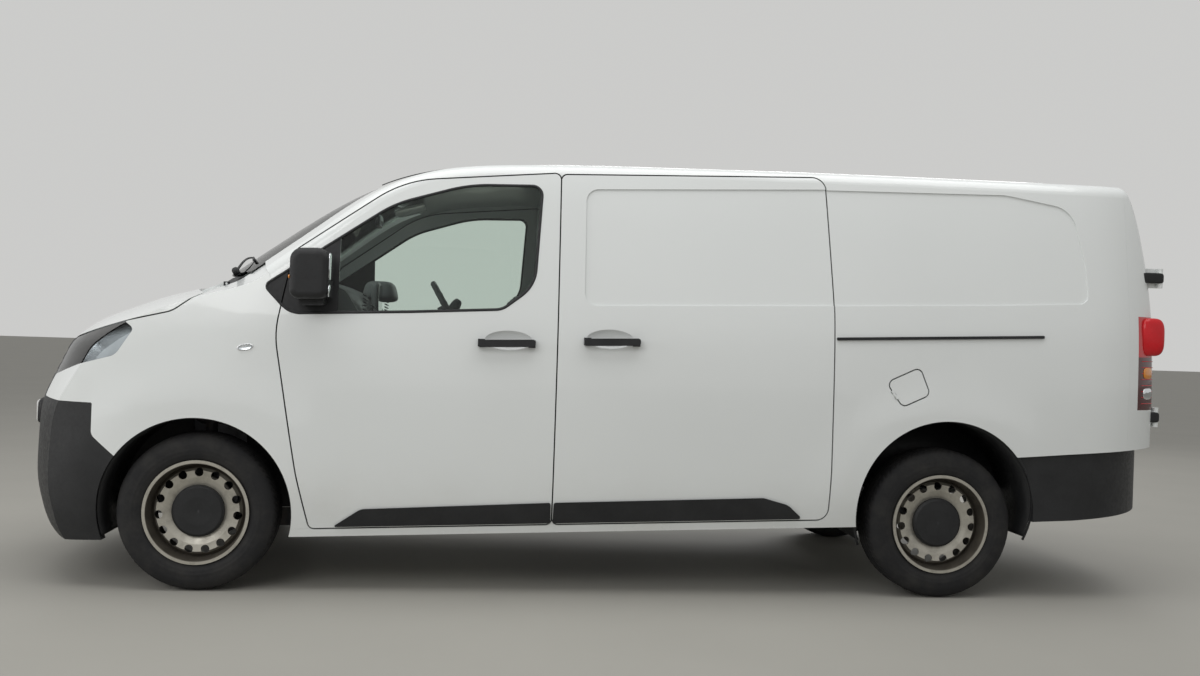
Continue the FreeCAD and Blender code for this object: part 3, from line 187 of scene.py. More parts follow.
def paintFinish(name, color):
    # White paint, faintly uneven in tone, under a layer of dust low on the body, broken by cloudy noise; the same
    # darkening also paints the lower body's shade and the floor's reflection.
    look = Finish(name, color, paintLook["gloss"], Coat_Weight=0.6, Coat_Roughness=0.04)
    height = look.axis("Z")
    # Darker and browner towards the bottom: dust, and painted shade with the floor's reflection.
    low = look.span(height, 0.20, paintLook["dustAndShadeTop"], 1.0, 0.0)
    cloud = look.span(look.noise(3.2, 6, 0.62), 0.42, 0.72)
    dustAndShadeFilm = look.math("MULTIPLY", look.math("MULTIPLY", low, cloud), 0.35)
    tone = look.blend(look.span(look.noise(1.3, 2), 0.3, 0.7), color, tuple(c * 0.975 for c in color))
    look.color(look.blend(dustAndShadeFilm, tone, paintLook["dust"]))
    haze = look.math("ADD", dustAndShadeFilm, look.math("MULTIPLY", look.noise(40, 3), 0.12))
    look.rough(look.span(haze, 0.0, 0.5, 0.18, 0.42))
    look.bump(look.noise(420, 2), paintLook["orangePeel"], 0.0004)
    return look.material


def plasticFinish(name, color, roughness, grain=900):
    # Moulded plastic, paler in worn patches, grained by cells.
    look = Finish(name, color, roughness, Specular_IOR_Level=0.35)
    worn = look.span(look.noise(5.5, 5, 0.6), 0.35, 0.75)
    look.color(look.blend(worn, color, tuple(min(1.0, c * 1.4 + 0.006) for c in color)))
    look.rough(look.span(look.noise(60, 3), 0.3, 0.7, roughness - 0.08, roughness + 0.1))
    look.bump(look.cells(grain), 0.35, 0.0006)
    return look.material


def metalFinish(name, color, roughness, metallic, dirt, dirty):
    # Metal with dirt in spots of noise, and a fine grain.
    look = Finish(name, color, roughness, Metallic=metallic)
    spots = look.span(look.noise(14, 7, 0.68), 0.46, 0.78, 0.0, dirty)
    look.color(look.blend(spots, color, dirt))
    look.rough(look.span(look.noise(30, 4), 0.3, 0.7, roughness - 0.08, roughness + 0.14))
    look.bump(look.noise(1.0, 3, 0.5, look.stretched((240, 240, 240))), 0.15, 0.0006)
    return look.material


wheelLook = {"middle": (front + rear) / 2, "halfBase": (rear - front) / 2, "wellInner": (0.180, 0.186),
             "wellOuter": (0.2070, 0.2110), "wellShadeStrength": 0.88}


def wheelFinish(name, color, wellShadeAndDustColor):
    # Steel wheel: the well between lip and disc, told by its distance from the nearer axle, is darkened as painted
    # shade in that recess; spots of noise lay dust over the whole wheel.
    look = Finish(name, color, 0.42, Metallic=0.6)
    fromMiddle = look.math("ABSOLUTE", look.math("SUBTRACT", look.axis("X"), wheelLook["middle"]), 0)
    along = look.math("SUBTRACT", fromMiddle, wheelLook["halfBase"])
    up = look.math("SUBTRACT", look.axis("Z"), body["tyreRadius"])
    squares = look.math("ADD", look.math("MULTIPLY", along, along), look.math("MULTIPLY", up, up))
    away = look.math("SQRT", squares, 0)
    # Painted shade: a dark ring in the well, joined below with the dust spots.
    well = look.math("MULTIPLY", look.span(away, *wheelLook["wellInner"]),
                     look.span(away, *wheelLook["wellOuter"], 1.0, 0.0))
    dust = look.span(look.noise(14, 7, 0.68), 0.46, 0.78, 0.0, 0.5)
    dark = look.math("MULTIPLY", well, wheelLook["wellShadeStrength"])
    look.color(look.blend(look.math("MAXIMUM", dark, dust), color, wellShadeAndDustColor))
    look.rough(look.span(look.noise(30, 4), 0.3, 0.7, 0.32, 0.54))
    look.bump(look.noise(240, 3), 0.15, 0.0006)
    return look.material


def rubberFinish(name):
    # Rubber, paler where noise lays dust on it.
    look = Finish(name, (0.028, 0.028, 0.030), 0.72, Specular_IOR_Level=0.3)
    dusty = look.span(look.noise(9, 6, 0.65), 0.42, 0.75, 0.0, 0.6)
    look.color(look.blend(dusty, (0.014, 0.014, 0.015), (0.045, 0.043, 0.039)))
    look.bump(look.noise(700, 2), 0.25, 0.0005)
    return look.material


def glassFinish(name, color):
    # Clear pane: see-through, mixed with a mirror gloss by the Fresnel share.
    look = Finish(name, color, 0.02, IOR=1.45, Transmission_Weight=1.0, Specular_IOR_Level=0.5)
    look.rough(look.span(look.noise(6, 5, 0.6), 0.45, 0.8, 0.0, 0.035))
    clear = look.add("ShaderNodeBsdfTransparent")
    clear.inputs["Color"].default_value = (*color, 1)
    gloss = look.add("ShaderNodeBsdfGlossy")
    gloss.inputs["Roughness"].default_value = 0.02
    facing = look.add("ShaderNodeFresnel")
    facing.inputs["IOR"].default_value = 1.35
    mix = look.add("ShaderNodeMixShader")
    look.link(facing.outputs[0], mix.inputs[0])
    look.link(clear.outputs[0], mix.inputs[1])
    look.link(gloss.outputs[0], mix.inputs[2])
    look.link(mix.outputs[0], look.tree.nodes["Material Output"].inputs["Surface"])
    return look.material


def clothFinish(name, color):
    # Woven cloth: the weave's height is two crossed wave patterns multiplied.
    look = Finish(name, color, 0.9, Sheen_Weight=0.35, Specular_IOR_Level=0.2)
    warp = look.waves(420, "X")
    weft = look.waves(420, "Z")
    weave = look.math("MULTIPLY", warp, weft)
    fade = look.span(look.noise(7, 4), 0.35, 0.7)
    look.color(look.blend(fade, color, tuple(c * 1.5 for c in color)))
    look.bump(weave, 0.4, 0.0008)
    return look.material


finishes = {
    "body_paint": paintFinish("bodyPaint", paintLook["white"]),
    "inner_paint": paintFinish("innerPaint", (0.60, 0.62, 0.61)),
    "glass": glassFinish("windowGlass", (0.92, 0.96, 0.935)),
    "lamp_clear": glassFinish("lampLens", (0.93, 0.95, 0.96)),
    "lamp_red": plasticFinish("lampRed", (0.55, 0.012, 0.018), 0.12, 220),
    "reflector": metalFinish("reflector", (0.86, 0.87, 0.88), 0.24, 0.7, (0.6, 0.6, 0.6), 0.1),
    "black_plastic": plasticFinish("blackPlastic", (0.0125, 0.013, 0.014), 0.5),
    "cab_plastic": plasticFinish("cabPlastic", (0.075, 0.078, 0.082), 0.6, 1200),
    "seat_cloth": clothFinish("seatCloth", (0.075, 0.078, 0.085)),
    "tyre": rubberFinish("tyreRubber"),
    # The wheel's second colour is its painted well shade and its dust.
    "wheel_paint": wheelFinish("wheelPaint", (0.46, 0.44, 0.385), (0.055, 0.045, 0.034)),
    "engine_iron": metalFinish("engineIron", (0.20, 0.20, 0.21), 0.5, 0.8, (0.06, 0.05, 0.045), 0.6),
    "chassis_paint": metalFinish("chassisPaint", (0.045, 0.045, 0.048), 0.55, 0.2, (0.16, 0.13, 0.10), 0.7),
    "tank_plastic": plasticFinish("tankPlastic", (0.045, 0.045, 0.048), 0.6, 500),
    "exhaust_steel": metalFinish("exhaustSteel", (0.42, 0.40, 0.37), 0.45, 0.9, (0.22, 0.13, 0.08), 0.7),
}
for part in frame["record"]["subparts"]:
    mesh = nodes[part["node"]].data
    mesh.materials.clear()
    mesh.materials.append(finishes[part["material_slot"]])
# The tail lens is dark red below its split, and the lamp bowls are fluted.
lensLook = {"split": (1.116, 1.122), "dark": (0.075, 0.004, 0.006), "bright": (0.58, 0.012, 0.018)}
lens = Finish("tailLens", (0.55, 0.012, 0.018), 0.12, Coat_Weight=0.6)
lens.color(lens.blend(lens.span(lens.axis("Z"), *lensLook["split"]), lensLook["dark"], lensLook["bright"]))
lens.bump(lens.cells(220), 0.35, 0.0006)
nodes["tail_lamps"].data.materials[0] = lens.material
bowl = Finish("lampBowl", (0.82, 0.83, 0.84), 0.16, Metallic=0.55)
bowl.bump(bowl.waves(26, "Y"), 0.5, 0.002)
nodes["headlamps"].data.materials[0] = bowl.material
print("finishes:", len(finishes))


def finishPiece(name, points, faces, material, rideOn, smooth=True):
    # A closed mesh whose volume comes out negative has its faces turned over.
    mesh = bpy.data.meshes.new(name)
    mesh.from_pydata(points.tolist(), [], faces)
    mesh.update()
    mesh.calc_loop_triangles()
    corners = np.empty(len(mesh.loop_triangles) * 3, int)
    mesh.loop_triangles.foreach_get("vertices", corners)
    place = np.empty(len(mesh.vertices) * 3)
    mesh.vertices.foreach_get("co", place)
    a, b, c = place.reshape(-1, 3)[corners.reshape(-1, 3)].transpose(1, 0, 2)
    if np.einsum("ij,ij->i", a, np.cross(b, c)).sum() < 0:
        mesh.flip_normals()
    mesh.polygons.foreach_set("use_smooth", np.full(len(mesh.polygons), smooth))
    mesh.materials.append(finishes[material])
    piece = bpy.data.objects.new(name, mesh)
    bpy.context.scene.collection.objects.link(piece)
    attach(piece, rideOn)
    return piece


def loopPiece(name, points, material, rideOn):
    # A closed loop of closed sections: the grid wraps both ways.
    faces = gridFaces(*points.shape[:2], True, True).tolist()
    return finishPiece(name, points.reshape(-1, 3), faces, material, rideOn)


def joinRings(name, groups, material, rideOn, smooth=True, closeEnds=True):
    # Tubes in one piece, each from its rings of points (along, around, 3); an open end is closed by a fan on its
    # middle point.
    points, faces, start = [], [], 0
    for rings in groups:
        rings = np.asarray(rings, float)
        along, around = rings.shape[:2]
        points.append(rings.reshape(-1, 3))
        faces += gridFaces(along, around, False, True, start).tolist()
        middle = start + along * around
        if closeEnds:
            points += [rings[0].mean(0)[None], rings[-1].mean(0)[None]]
            i = np.arange(around)
            j = (i + 1) % around
            last = middle - around
            faces += np.stack([np.full(around, middle), start + j, start + i], -1).tolist()
            faces += np.stack([np.full(around, middle + 1), last + i, last + j], -1).tolist()
        start = middle + 2
    return finishPiece(name, np.vstack(points), faces, material, rideOn, smooth)


def ringPiece(name, rings, material, rideOn, smooth=True, closeEnds=True):
    return joinRings(name, [rings], material, rideOn, smooth, closeEnds)


def tubeRings(path, radius, around=12, flat=1.0, closed=False):
    # Circle of the radius carried along the path: each ring stands square to the path's slope, its first axis kept
    # as near to level as it goes. flat squeezes the second axis.
    path = np.asarray(path, float)
    slope = np.gradient(path, axis=0)
    if closed:
        slope = np.roll(path, -1, 0) - np.roll(path, 1, 0)
    slope /= np.linalg.norm(slope, axis=1, keepdims=True)
    guide = np.tile([0.0, 0.0, 1.0], (len(path), 1))
    guide[np.abs(slope[:, 2]) > 0.9] = (0.0, 1.0, 0.0)
    first = np.cross(slope, guide)
    first /= np.linalg.norm(first, axis=1, keepdims=True)
    second = np.cross(slope, first)
    angle = fullTurn(around)
    size = np.broadcast_to(np.asarray(radius, float), (len(path),))[:, None, None]
    rings = path[:, None] + size * (np.cos(angle)[None, :, None] * first[:, None]
                                    + flat * np.sin(angle)[None, :, None] * second[:, None])
    if closed:
        rings = np.concatenate([rings, rings[:1]], 0)
    return rings


def blockRings(centre, half, sharp=5.0, around=36, along=15, taper=0.0, tilt=0):
    # Rounded block: at height t the section is a superellipse |x|^p + |y|^p = (1 - |t|^p), stretched to the half
    # sizes and narrowed by the taper towards the top; then the block is tilted about Y.
    a = np.linspace(-np.pi / 2, np.pi / 2, along + 2)[1:-1, None]
    b = fullTurn(around)[None]
    t = squared(np.sin(a), 2 / sharp)
    s = np.abs(np.cos(a)) ** (2 / sharp) * (1 - taper * t)
    rings = np.stack([s * squared(np.cos(b), 2 / sharp) * half[0], s * squared(np.sin(b), 2 / sharp) * half[1],
                      (t + 0 * b) * half[2]], -1)
    return rings @ pitched(tilt).T + np.asarray(centre, float)


def latheRings(profile, centre, axis=(0, 1, 0), around=40):
    # Profile (distance along the axis, radius) turned about the axis through the centre.
    axis = np.asarray(axis, float) / np.linalg.norm(axis)
    side = np.cross(axis, (0.3, 0.2, 0.93))
    side /= np.linalg.norm(side)
    other = np.cross(axis, side)
    profile = np.asarray(profile, float)
    angle = fullTurn(around)
    circle = np.cos(angle)[:, None] * side + np.sin(angle)[:, None] * other
    return (np.asarray(centre, float) + profile[:, :1, None] * axis
            + profile[:, 1:, None] * circle[None])


def dressed(piece, finish):
    # The record's slot stays as declared; only the look is another.
    piece.data.materials[0] = finishes[finish]
    return piece


# Tyres: section carried round the axle, with grooves pressed into the tread
tyreLook = {"around": 540, "across": 74, "grooveDepth": 0.0075, "grooveAt": (-0.048, -0.016, 0.016, 0.048),
            "grooveWidth": 0.0045, "sipes": 70, "sipeShare": 0.16, "sipeSkew": 2.2, "sipeDeep": 0.75,
            "treadEdge": (0.088, 0.080), "ringHigh": 0.0006, "ringPitch": 900}
tyreSection = [(-0.094, 0.222), (-0.100, 0.232), (-0.1055, 0.252), (-0.1070, 0.272), (-0.1040, 0.296),
               (-0.0960, 0.315), (-0.0840, 0.328), (-0.0680, 0.3338), (-0.0400, 0.3357), (0.0, 0.336)]
tyreSection += [(-y, r) for y, r in tyreSection[-2::-1]]
tyreInside = [(0.094, 0.222), (0.088, 0.224), (0.080, 0.250), (0.070, 0.300), (0.0, 0.312), (-0.070, 0.300),
              (-0.080, 0.250), (-0.088, 0.224), (-0.094, 0.222)]


def tyreMesh(name, rideOn, centreX, centreY):
    # Point(a, s) = section(s) turned by angle a; in the tread band the radius drops by the groove depth where a
    # round groove or a slanted sipe passes: sipe phase = sipes * (a + skew * y) / 2 pi.
    section = smoothCurve(tyreSection, tyreLook["across"])
    angle = fullTurn(tyreLook["around"])[:, None]
    y, r = section[None, :, 0], section[None, :, 1]
    tread = smoothStep(*tyreLook["treadEdge"], np.abs(y))
    grooves = np.zeros_like(y)
    width = tyreLook["grooveWidth"]
    for at in tyreLook["grooveAt"]:
        grooves = np.maximum(grooves, smoothStep(width + 0.0015, width, np.abs(y - at)))
    phase = tyreLook["sipes"] * (angle / (2 * np.pi) + tyreLook["sipeSkew"] * np.abs(y) / (2 * np.pi)) % 1.0
    share = tyreLook["sipeShare"]
    sipes = smoothStep(share + 0.03, share, phase) * smoothStep(0.012, 0.02, np.abs(y))
    radius = r - tyreLook["grooveDepth"] * tread * np.maximum(grooves, tyreLook["sipeDeep"] * sipes)
    rings = tyreLook["ringHigh"] * np.sin((r - 0.23) * tyreLook["ringPitch"])
    rings = rings * smoothStep(0.29, 0.28, r) * smoothStep(0.235, 0.245, r)
    inner = smoothCurve(tyreInside, 22)[None, 1:-1]
    across = np.concatenate([y + np.sign(y) * rings, inner[..., 0]], 1) + centreY + 0 * angle
    radius = np.concatenate([radius, inner[..., 1] + 0 * angle], 1)
    points = [centreX + radius * np.sin(angle), across, body["tyreRadius"] + radius * np.cos(angle)]
    return loopPiece(name, np.stack(points, -1), "tyre", rideOn)


for axle, centreX, track in (("front", front, body["trackFront"]), ("rear", rear, body["trackRear"])):
    for side, sign in sides:
        piece = tyreMesh(f"tyreTread_{axle}_{side}", f"wheel_{axle}_{side}", centreX, sign * track / 2)
        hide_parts(f"tyre_{axle}_{side}")
print("tyres done")


def splineThrough(stations):
    # Natural cubic spline y(x): the second slopes solve the usual three-band equations.
    x, y = np.asarray(stations, float).T
    h = np.diff(x)
    count = len(x)
    bands = np.eye(count)
    right = np.zeros(count)
    inner = np.arange(1, count - 1)
    bands[inner, inner - 1], bands[inner, inner], bands[inner, inner + 1] = h[:-1], 2 * (h[:-1] + h[1:]), h[1:]
    right[1:-1] = 6 * (np.diff(y[1:]) / h[1:] - np.diff(y[:-1]) / h[:-1])
    bend = np.linalg.solve(bands, right)

    def value(t):
        t = np.asarray(t, float)
        i = np.clip(np.searchsorted(x, t) - 1, 0, count - 2)
        a, b = x[i + 1] - t, t - x[i]
        return ((bend[i] * a ** 3 + bend[i + 1] * b ** 3) / (6 * h[i])
                + (y[i] / h[i] - bend[i] * h[i] / 6) * a + (y[i + 1] / h[i] - bend[i + 1] * h[i] / 6) * b)
    return value


# The body's skin, by the same formula as the CAD's: a tuck by height, flares over the wheels, rounded ends
tuckAt = splineThrough([(0.060, 0.100), (0.224, 0.052), (0.350, 0.028), (0.550, 0.014), (0.750, 0.010),
                        (0.950, 0.013), (1.100, 0.021), (1.200, 0.033), (1.350, 0.055), (1.550, 0.087),
                        (1.720, 0.117), (1.800, 0.135), (1.950, 0.190)])
roofAt = splineThrough([(-0.330, 1.200), (-0.200, 1.274), (-0.096, 1.335), (0.043, 1.428), (0.183, 1.524),
                        (0.373, 1.648), (0.573, 1.753), (0.773, 1.817), (0.973, 1.851), (1.173, 1.866),
                        (1.373, 1.871), (1.573, 1.872), (1.873, 1.868), (2.273, 1.860), (2.773, 1.848),
                        (3.373, 1.829), (3.973, 1.808), (4.273, 1.796), (4.600, 1.780)])
noseAt = splineThrough([(0.060, 0.260), (0.190, 0.118), (0.250, 0.062), (0.300, 0.040), (0.420, 0.008), (0.500, 0.0),
                        (0.620, 0.002), (0.740, 0.008), (0.830, 0.026), (0.900, 0.056), (0.960, 0.084),
                        (1.020, 0.112), (1.070, 0.142), (1.120, 0.200), (1.160, 0.262), (1.196, 0.343),
                        (1.239, 0.464), (1.272, 0.564), (1.306, 0.704), (1.334, 0.790), (1.370, 0.850),
                        (1.422, 0.924), (1.519, 1.064)])
tailAt = splineThrough([(0.100, 0.060), (0.500, 0.048), (0.700, 0.044), (1.000, 0.050), (1.200, 0.062),
                        (1.350, 0.082), (1.500, 0.112), (1.650, 0.150), (1.760, 0.190), (1.850, 0.236),
                        (1.950, 0.300)])


def liftAt(x):
    # Rake: the body rises with the distance behind the front axle.
    return body["rake"] * (np.asarray(x, float) - front)


def halfWidthAt(x, z):
    # Widest half less the tuck at that height, plus a flare that fades with the distance from each axle;
    # towards nose and tail it is rounded in by a power of the distance past where the rounding starts.
    x, z = np.asarray(x, float), np.asarray(z, float)
    wide = body["halfWidth"] - tuckAt(z - liftAt(x))
    for axle in (front, rear):
        away = np.hypot(x - axle, z - body["tyreRadius"])
        wide = wide + body["flare"] * (1 - smoothStep(0.50, 0.68, away)) * smoothStep(0.25, 0.50, z)
    ahead = np.maximum(0.0, (body["nose"] + 0.770 - x) / 0.900)
    behind = np.maximum(0.0, (x - body["tail"] + 0.560) / 0.700)
    return wide * (1 - ahead ** 3) ** 0.625 * (1 - behind ** 3) ** 0.5


def roofHeight(x, y):
    # Roof line by length, bowed forward over the windscreen, less a crown of 0.04 times y squared.
    x = np.asarray(x, float)
    bow = 0.30 * (1 - smoothStep(front + 0.2, front + 1.3, x)) * y * y
    return roofAt(x - bow - front) + liftAt(x) - 0.04 * y * y


def noseX(y, z):
    # Nose surface by height: solved twice for the rake, whose lift depends on x.
    x = body["nose"] + noseAt(z) + 0.36 * y * y
    return body["nose"] + noseAt(z - liftAt(x) + 0.02 * y * y) + 0.36 * y * y


def tailX(y, z):
    # Tail surface by height, solved twice for the rake and drawn in by 0.10 times y squared.
    x = body["tail"] - tailAt(z - liftAt(body["tail"]))
    return body["tail"] - tailAt(z - liftAt(x)) - 0.10 * y * y


def onSide(x, z, out, side):
    # Point of the side skin moved outwards; side is -1 on the left and 1 on the right.
    return np.stack([x, side * (halfWidthAt(x, z) + out), z], -1)


def roundedOutline(corners, count=200):
    # Closed outline of straight runs and rounds: each corner (x, z, r) becomes an arc tangent to both runs.
    corners = np.asarray(corners, float)
    before = np.roll(corners, 1, 0)
    after = np.roll(corners, -1, 0)
    back = before[:, :2] - corners[:, :2]
    on = after[:, :2] - corners[:, :2]
    back /= np.linalg.norm(back, axis=1, keepdims=True)
    on /= np.linalg.norm(on, axis=1, keepdims=True)
    half = np.arccos(np.clip((back * on).sum(1), -1, 1)) / 2
    reach = corners[:, 2] / np.tan(half)
    t = np.linspace(0, 1, 13)[None, :, None]
    enter = (corners[:, :2] + back * reach[:, None])[:, None]
    leave = (corners[:, :2] + on * reach[:, None])[:, None]
    middle = corners[:, None, :2]
    weight = np.sin(half)[:, None, None]
    arcs = ((1 - t) ** 2 * enter + 2 * t * (1 - t) * weight * middle + t ** 2 * leave)
    arcs = arcs / ((1 - t) ** 2 + 2 * t * (1 - t) * weight + t ** 2)
    run = arcs.reshape(-1, 2)
    run = np.vstack([run, run[:1]])
    far = np.concatenate([[0], np.cumsum(np.linalg.norm(np.diff(run, axis=0), axis=1))])
    at = np.linspace(0, far[-1], count, endpoint=False)
    return np.stack([np.interp(at, far, run[:, 0]), np.interp(at, far, run[:, 1])], -1)


def raked(axle, corners):
    # Outline from distances behind an axle and heights on the level body, in metres.
    corners = np.array(corners, float)
    corners[:, 0] += axle
    corners[:, 1] += liftAt(corners[:, 0])
    return corners


def grownOutline(outline, gap):
    # Closed outline moved outwards by the gap along its own normals.
    slope = np.roll(outline, -1, 0) - np.roll(outline, 1, 0)
    slope /= np.linalg.norm(slope, axis=1, keepdims=True)
    normal = np.stack([slope[:, 1], -slope[:, 0]], -1)
    area = np.sum(outline[:, 0] * np.roll(outline[:, 1], -1) - np.roll(outline[:, 0], -1) * outline[:, 1])
    return outline + normal * gap * np.sign(area)


def bandPiece(name, outline, profile, side, material, rideOn):
    # Profile of (offset in the side view, distance out of the skin) carried round a closed outline on the side.
    rings = [onSide(*grownOutline(outline, offset).T, out, side) for offset, out in profile]
    loopPiece(name, np.stack(rings, 1), material, rideOn)


def sideCap(outline, profile, side):
    # Shield on the side skin: rings of the outline shrunk towards its middle by each profile share, at its
    # distance out.
    middle = outline.mean(0)
    return np.stack([onSide(*(middle + (outline - middle) * share).T, out, side) for share, out in profile])


# Seals, arch lips and liners; the side outlines are distances behind the front axle, heights and radii
lines = {"window": raked(front, [(0.250, 1.302, 0.025), (0.365, 1.180, 0.110), (0.880, 1.186, 0.9),
                                 (1.270, 1.196, 0.090), (1.410, 1.300, 0.160), (1.436, 1.748, 0.045),
                                 (1.110, 1.750, 0.7), (0.790, 1.662, 0.5)]),
         "door": raked(front, [(0.4755, 0.262, 0.025), (0.417, 0.500, 0.9), (0.311, 1.100, 0.42),
                               (0.376, 1.452, 0.06), (0.830, 1.762, 0.5), (1.5115, 1.803, 0.025),
                               (1.5085, 0.262, 0.025)]),
         "slider": raked(front, [(1.5145, 0.262, 0.025), (1.5175, 1.797, 0.025), (2.707, 1.797, 0.06),
                                 (2.743, 1.200, 2.0), (2.746, 0.480, 0.5), (2.741, 0.262, 0.05)])}
sealLook = {"gap": 0.006, "deep": 0.016, "glassLip": 0.007}
gap, deep, lip = sealLook["gap"], sealLook["deep"], sealLook["glassLip"]
for side, sign in sides:
    # Black seal bands sunk behind the door and slider shut-lines; their black also paints the shade deep in the gaps.
    for name in ("door", "slider"):
        outline = roundedOutline(lines[name], 420)
        profile = [(gap * 0.1, -deep), (gap * 0.9, -deep), (gap * 0.9, -2 * deep), (gap * 0.1, -2 * deep)]
        bandPiece(f"gapSealAndShade_{name}_{side}", outline, profile, sign, "black_plastic", "body")
    outline = roundedOutline(lines["window"], 360)
    profile = [(0.002, -0.006), (0.0035, 0.0), (0.001, 0.0022), (-lip, 0.0018), (-lip - 0.002, -0.002),
               (-lip, -0.006)]
    bandPiece(f"windowSeal_{side}", outline, profile, sign, "black_plastic", f"door_{side}")

archLook = {"front": (front - 0.005, 0.336), "rear": (rear + 0.008, 0.395), "lip": 0.0055, "wall": 0.002,
            "inner": 0.565, "outer": 0.90, "edge": 0.012,
            "lips": (("front", 0.4085, 30, 168, -0.010), ("rear", 0.4135, -18, 203, -0.012)),
            "liners": (("front", 0.4025, -12, 196), ("rear", 0.4070, -16, 200)),
            "back": 0.409, "backLow": 0.460, "backAt": (0.568, 0.571)}


def archPath(centreX, centreZ, radius, low, high, side, out, count=90):
    # Arc over a wheel laid on the side skin: angle from low to high degrees above the level.
    angle = np.radians(np.linspace(low, high, count))
    x, z = centreX + radius * np.cos(angle), centreZ + radius * np.sin(angle)
    return onSide(x, z, out, side)


for side, sign in sides:
    lips = [tubeRings(archPath(*archLook[name], radius, low, high, sign, out), archLook["lip"], 10)
            for name, radius, low, high, out in archLook["lips"]]
    joinRings(f"archLips_{side}", lips, "black_plastic", "body")
    for name, radius, low, high in archLook["liners"]:
        x, z = archLook[name]
        angle = np.radians(np.linspace(low, high, 90))[:, None]
        edge = radius + np.array([[0.0, 0.0, -archLook["wall"], -archLook["wall"]]])
        inner, outer = archLook["inner"], archLook["outer"]
        across = np.array([[inner, outer, outer, inner]]) + 0 * angle
        sideX, sideZ = x + edge * np.cos(angle), z + edge * np.sin(angle)
        across[:, 1:3] = halfWidthAt(sideX, sideZ)[:, 1:3] - archLook["edge"]
        ringPiece(f"archLiner_{name}_{side}", np.stack([sideX, sign * across, sideZ], -1), "black_plastic", "body")
    x, z = archLook["rear"]
    angle = np.radians(np.linspace(13, 167, 80))[:, None]
    x = x + archLook["back"] * np.cos(angle) + np.zeros((1, 4))
    z = np.concatenate([z + archLook["back"] * np.sin(angle)] * 2 + [0 * angle + archLook["backLow"]] * 2, 1)
    inner, outer = archLook["backAt"]
    across = np.array([[inner, outer, outer, inner]]) + 0 * angle
    ringPiece(f"archBack_{side}", np.stack([x, sign * across, z], -1), "black_plastic", "body")
print("seals done")


def ribbedFinish(name, color, roughness, scale, direction, strength, deep):
    look = Finish(name, color, roughness, Coat_Weight=0.5)
    look.bump(look.waves(scale, direction), strength, deep)
    return look.material


def plateFinish(name, color):
    look = Finish(name, color, 0.35)
    look.bump(look.cells(600), 0.1, 0.0003)
    return look.material


mirrorGlass = Finish("mirrorGlass", (0.75, 0.78, 0.80), 0.03, Metallic=1.0)
mirrorGlass.rough(mirrorGlass.span(mirrorGlass.noise(8, 5), 0.4, 0.8, 0.02, 0.07))
finishes.update({"amber": ribbedFinish("lampAmber", (0.80, 0.28, 0.02), 0.15, 90, "X", 0.2, 0.001),
                 "browWhite": ribbedFinish("browWhite", (0.86, 0.87, 0.88), 0.2, 160, "Y", 0.3, 0.0008),
                 "plateWhite": plateFinish("plateWhite", (0.78, 0.78, 0.76)),
                 "plateYellow": plateFinish("plateYellow", (0.74, 0.56, 0.05)), "mirror": mirrorGlass.material})

# Side repeaters and the cab door's lock
detail = {"repeaterAt": (-1.584, 1.044), "repeaterHalf": (0.030, 0.0125), "lockAt": (-0.385, 1.094)}
around = fullTurn(40)
for side, sign in sides:
    x, z = detail["repeaterAt"]
    a, b = detail["repeaterHalf"]
    oval = np.stack([x + a * np.cos(around), z + b * np.sin(around) + 0.004 * np.cos(around)], -1)
    rings = sideCap(oval, [(1.0, -0.001), (1.0, 0.003), (0.86, 0.0062), (0.5, 0.0078), (0.12, 0.0082)], sign)
    ringPiece(f"repeater_{side}", rings, "lamp_clear", "body")
    rings = sideCap(oval, [(1.10, -0.001), (1.16, 0.001), (1.10, 0.0022), (0.94, 0.0005)], sign)
    ringPiece(f"repeaterBase_{side}", rings, "reflector", "body")

# Door mirrors: two glasses each and a signal lamp
mirror = {"x": front + 0.545, "y": 1.0145, "z": 1.392, "half": (0.0035, 0.074, 0.058), "lowZ": 1.290,
          "lowHalf": (0.0035, 0.074, 0.026), "signalAt": (-0.162, 0.045, 1.345), "signalHalf": (0.004, 0.030, 0.008)}
for side, sign in sides:
    x, y = mirror["x"] + 0.001, sign * mirror["y"]
    glass = [blockRings((x, y, mirror["z"]), mirror["half"], 6),
             blockRings((x, y, mirror["lowZ"]), mirror["lowHalf"], 6)]
    dressed(joinRings(f"mirrorGlass_{side}", glass, "reflector", f"door_{side}"), "mirror")
    x, y, z = mirror["signalAt"]
    signal = blockRings((mirror["x"] + x, sign * (mirror["y"] + y), z), mirror["signalHalf"], 4)
    dressed(ringPiece(f"mirrorSignal_{side}", signal, "lamp_clear", f"door_{side}"), "amber")

# Headlamps: two projectors and a white brow
lampLook = {"projectors": ((0.640, 1.005, 0.034), (0.735, 1.030, 0.030)), "browY": (0.575, 0.790),
            "browZ": 0.945, "browRise": 0.14}
for side, sign in sides:
    bowls, balls = [], []
    for y, z, radius in lampLook["projectors"]:
        x = float(noseX(y, z + radius)) + 0.022
        profile = [(0.030, 0.004), (0.030, radius * 0.8), (0.0, radius), (-0.004, radius), (-0.004, radius * 0.92),
                   (0.006, radius * 0.8), (0.024, radius * 0.55), (0.026, 0.004)]
        bowls.append(latheRings(profile, (x, sign * y, z), (1, 0, 0)))
        dome = np.linspace(0.02, np.pi / 2, 10)
        balls.append(latheRings(np.stack([0.012 - radius * 0.45 * np.cos(dome), radius * 0.62 * np.sin(dome)], -1),
                                (x, sign * y, z), (1, 0, 0)))
    joinRings(f"projectors_{side}", bowls, "reflector", "body")
    y = np.linspace(*lampLook["browY"], 60)
    z = lampLook["browZ"] + lampLook["browRise"] * (y - y[0])
    brow = np.stack([noseX(y, z) + 0.030, sign * y, z], -1)
    dressed(ringPiece(f"lampBrow_{side}", tubeRings(brow, 0.0055, 14), "lamp_clear", "body"), "browWhite")
    joinRings(f"projectorLenses_{side}", balls, "lamp_clear", "body")

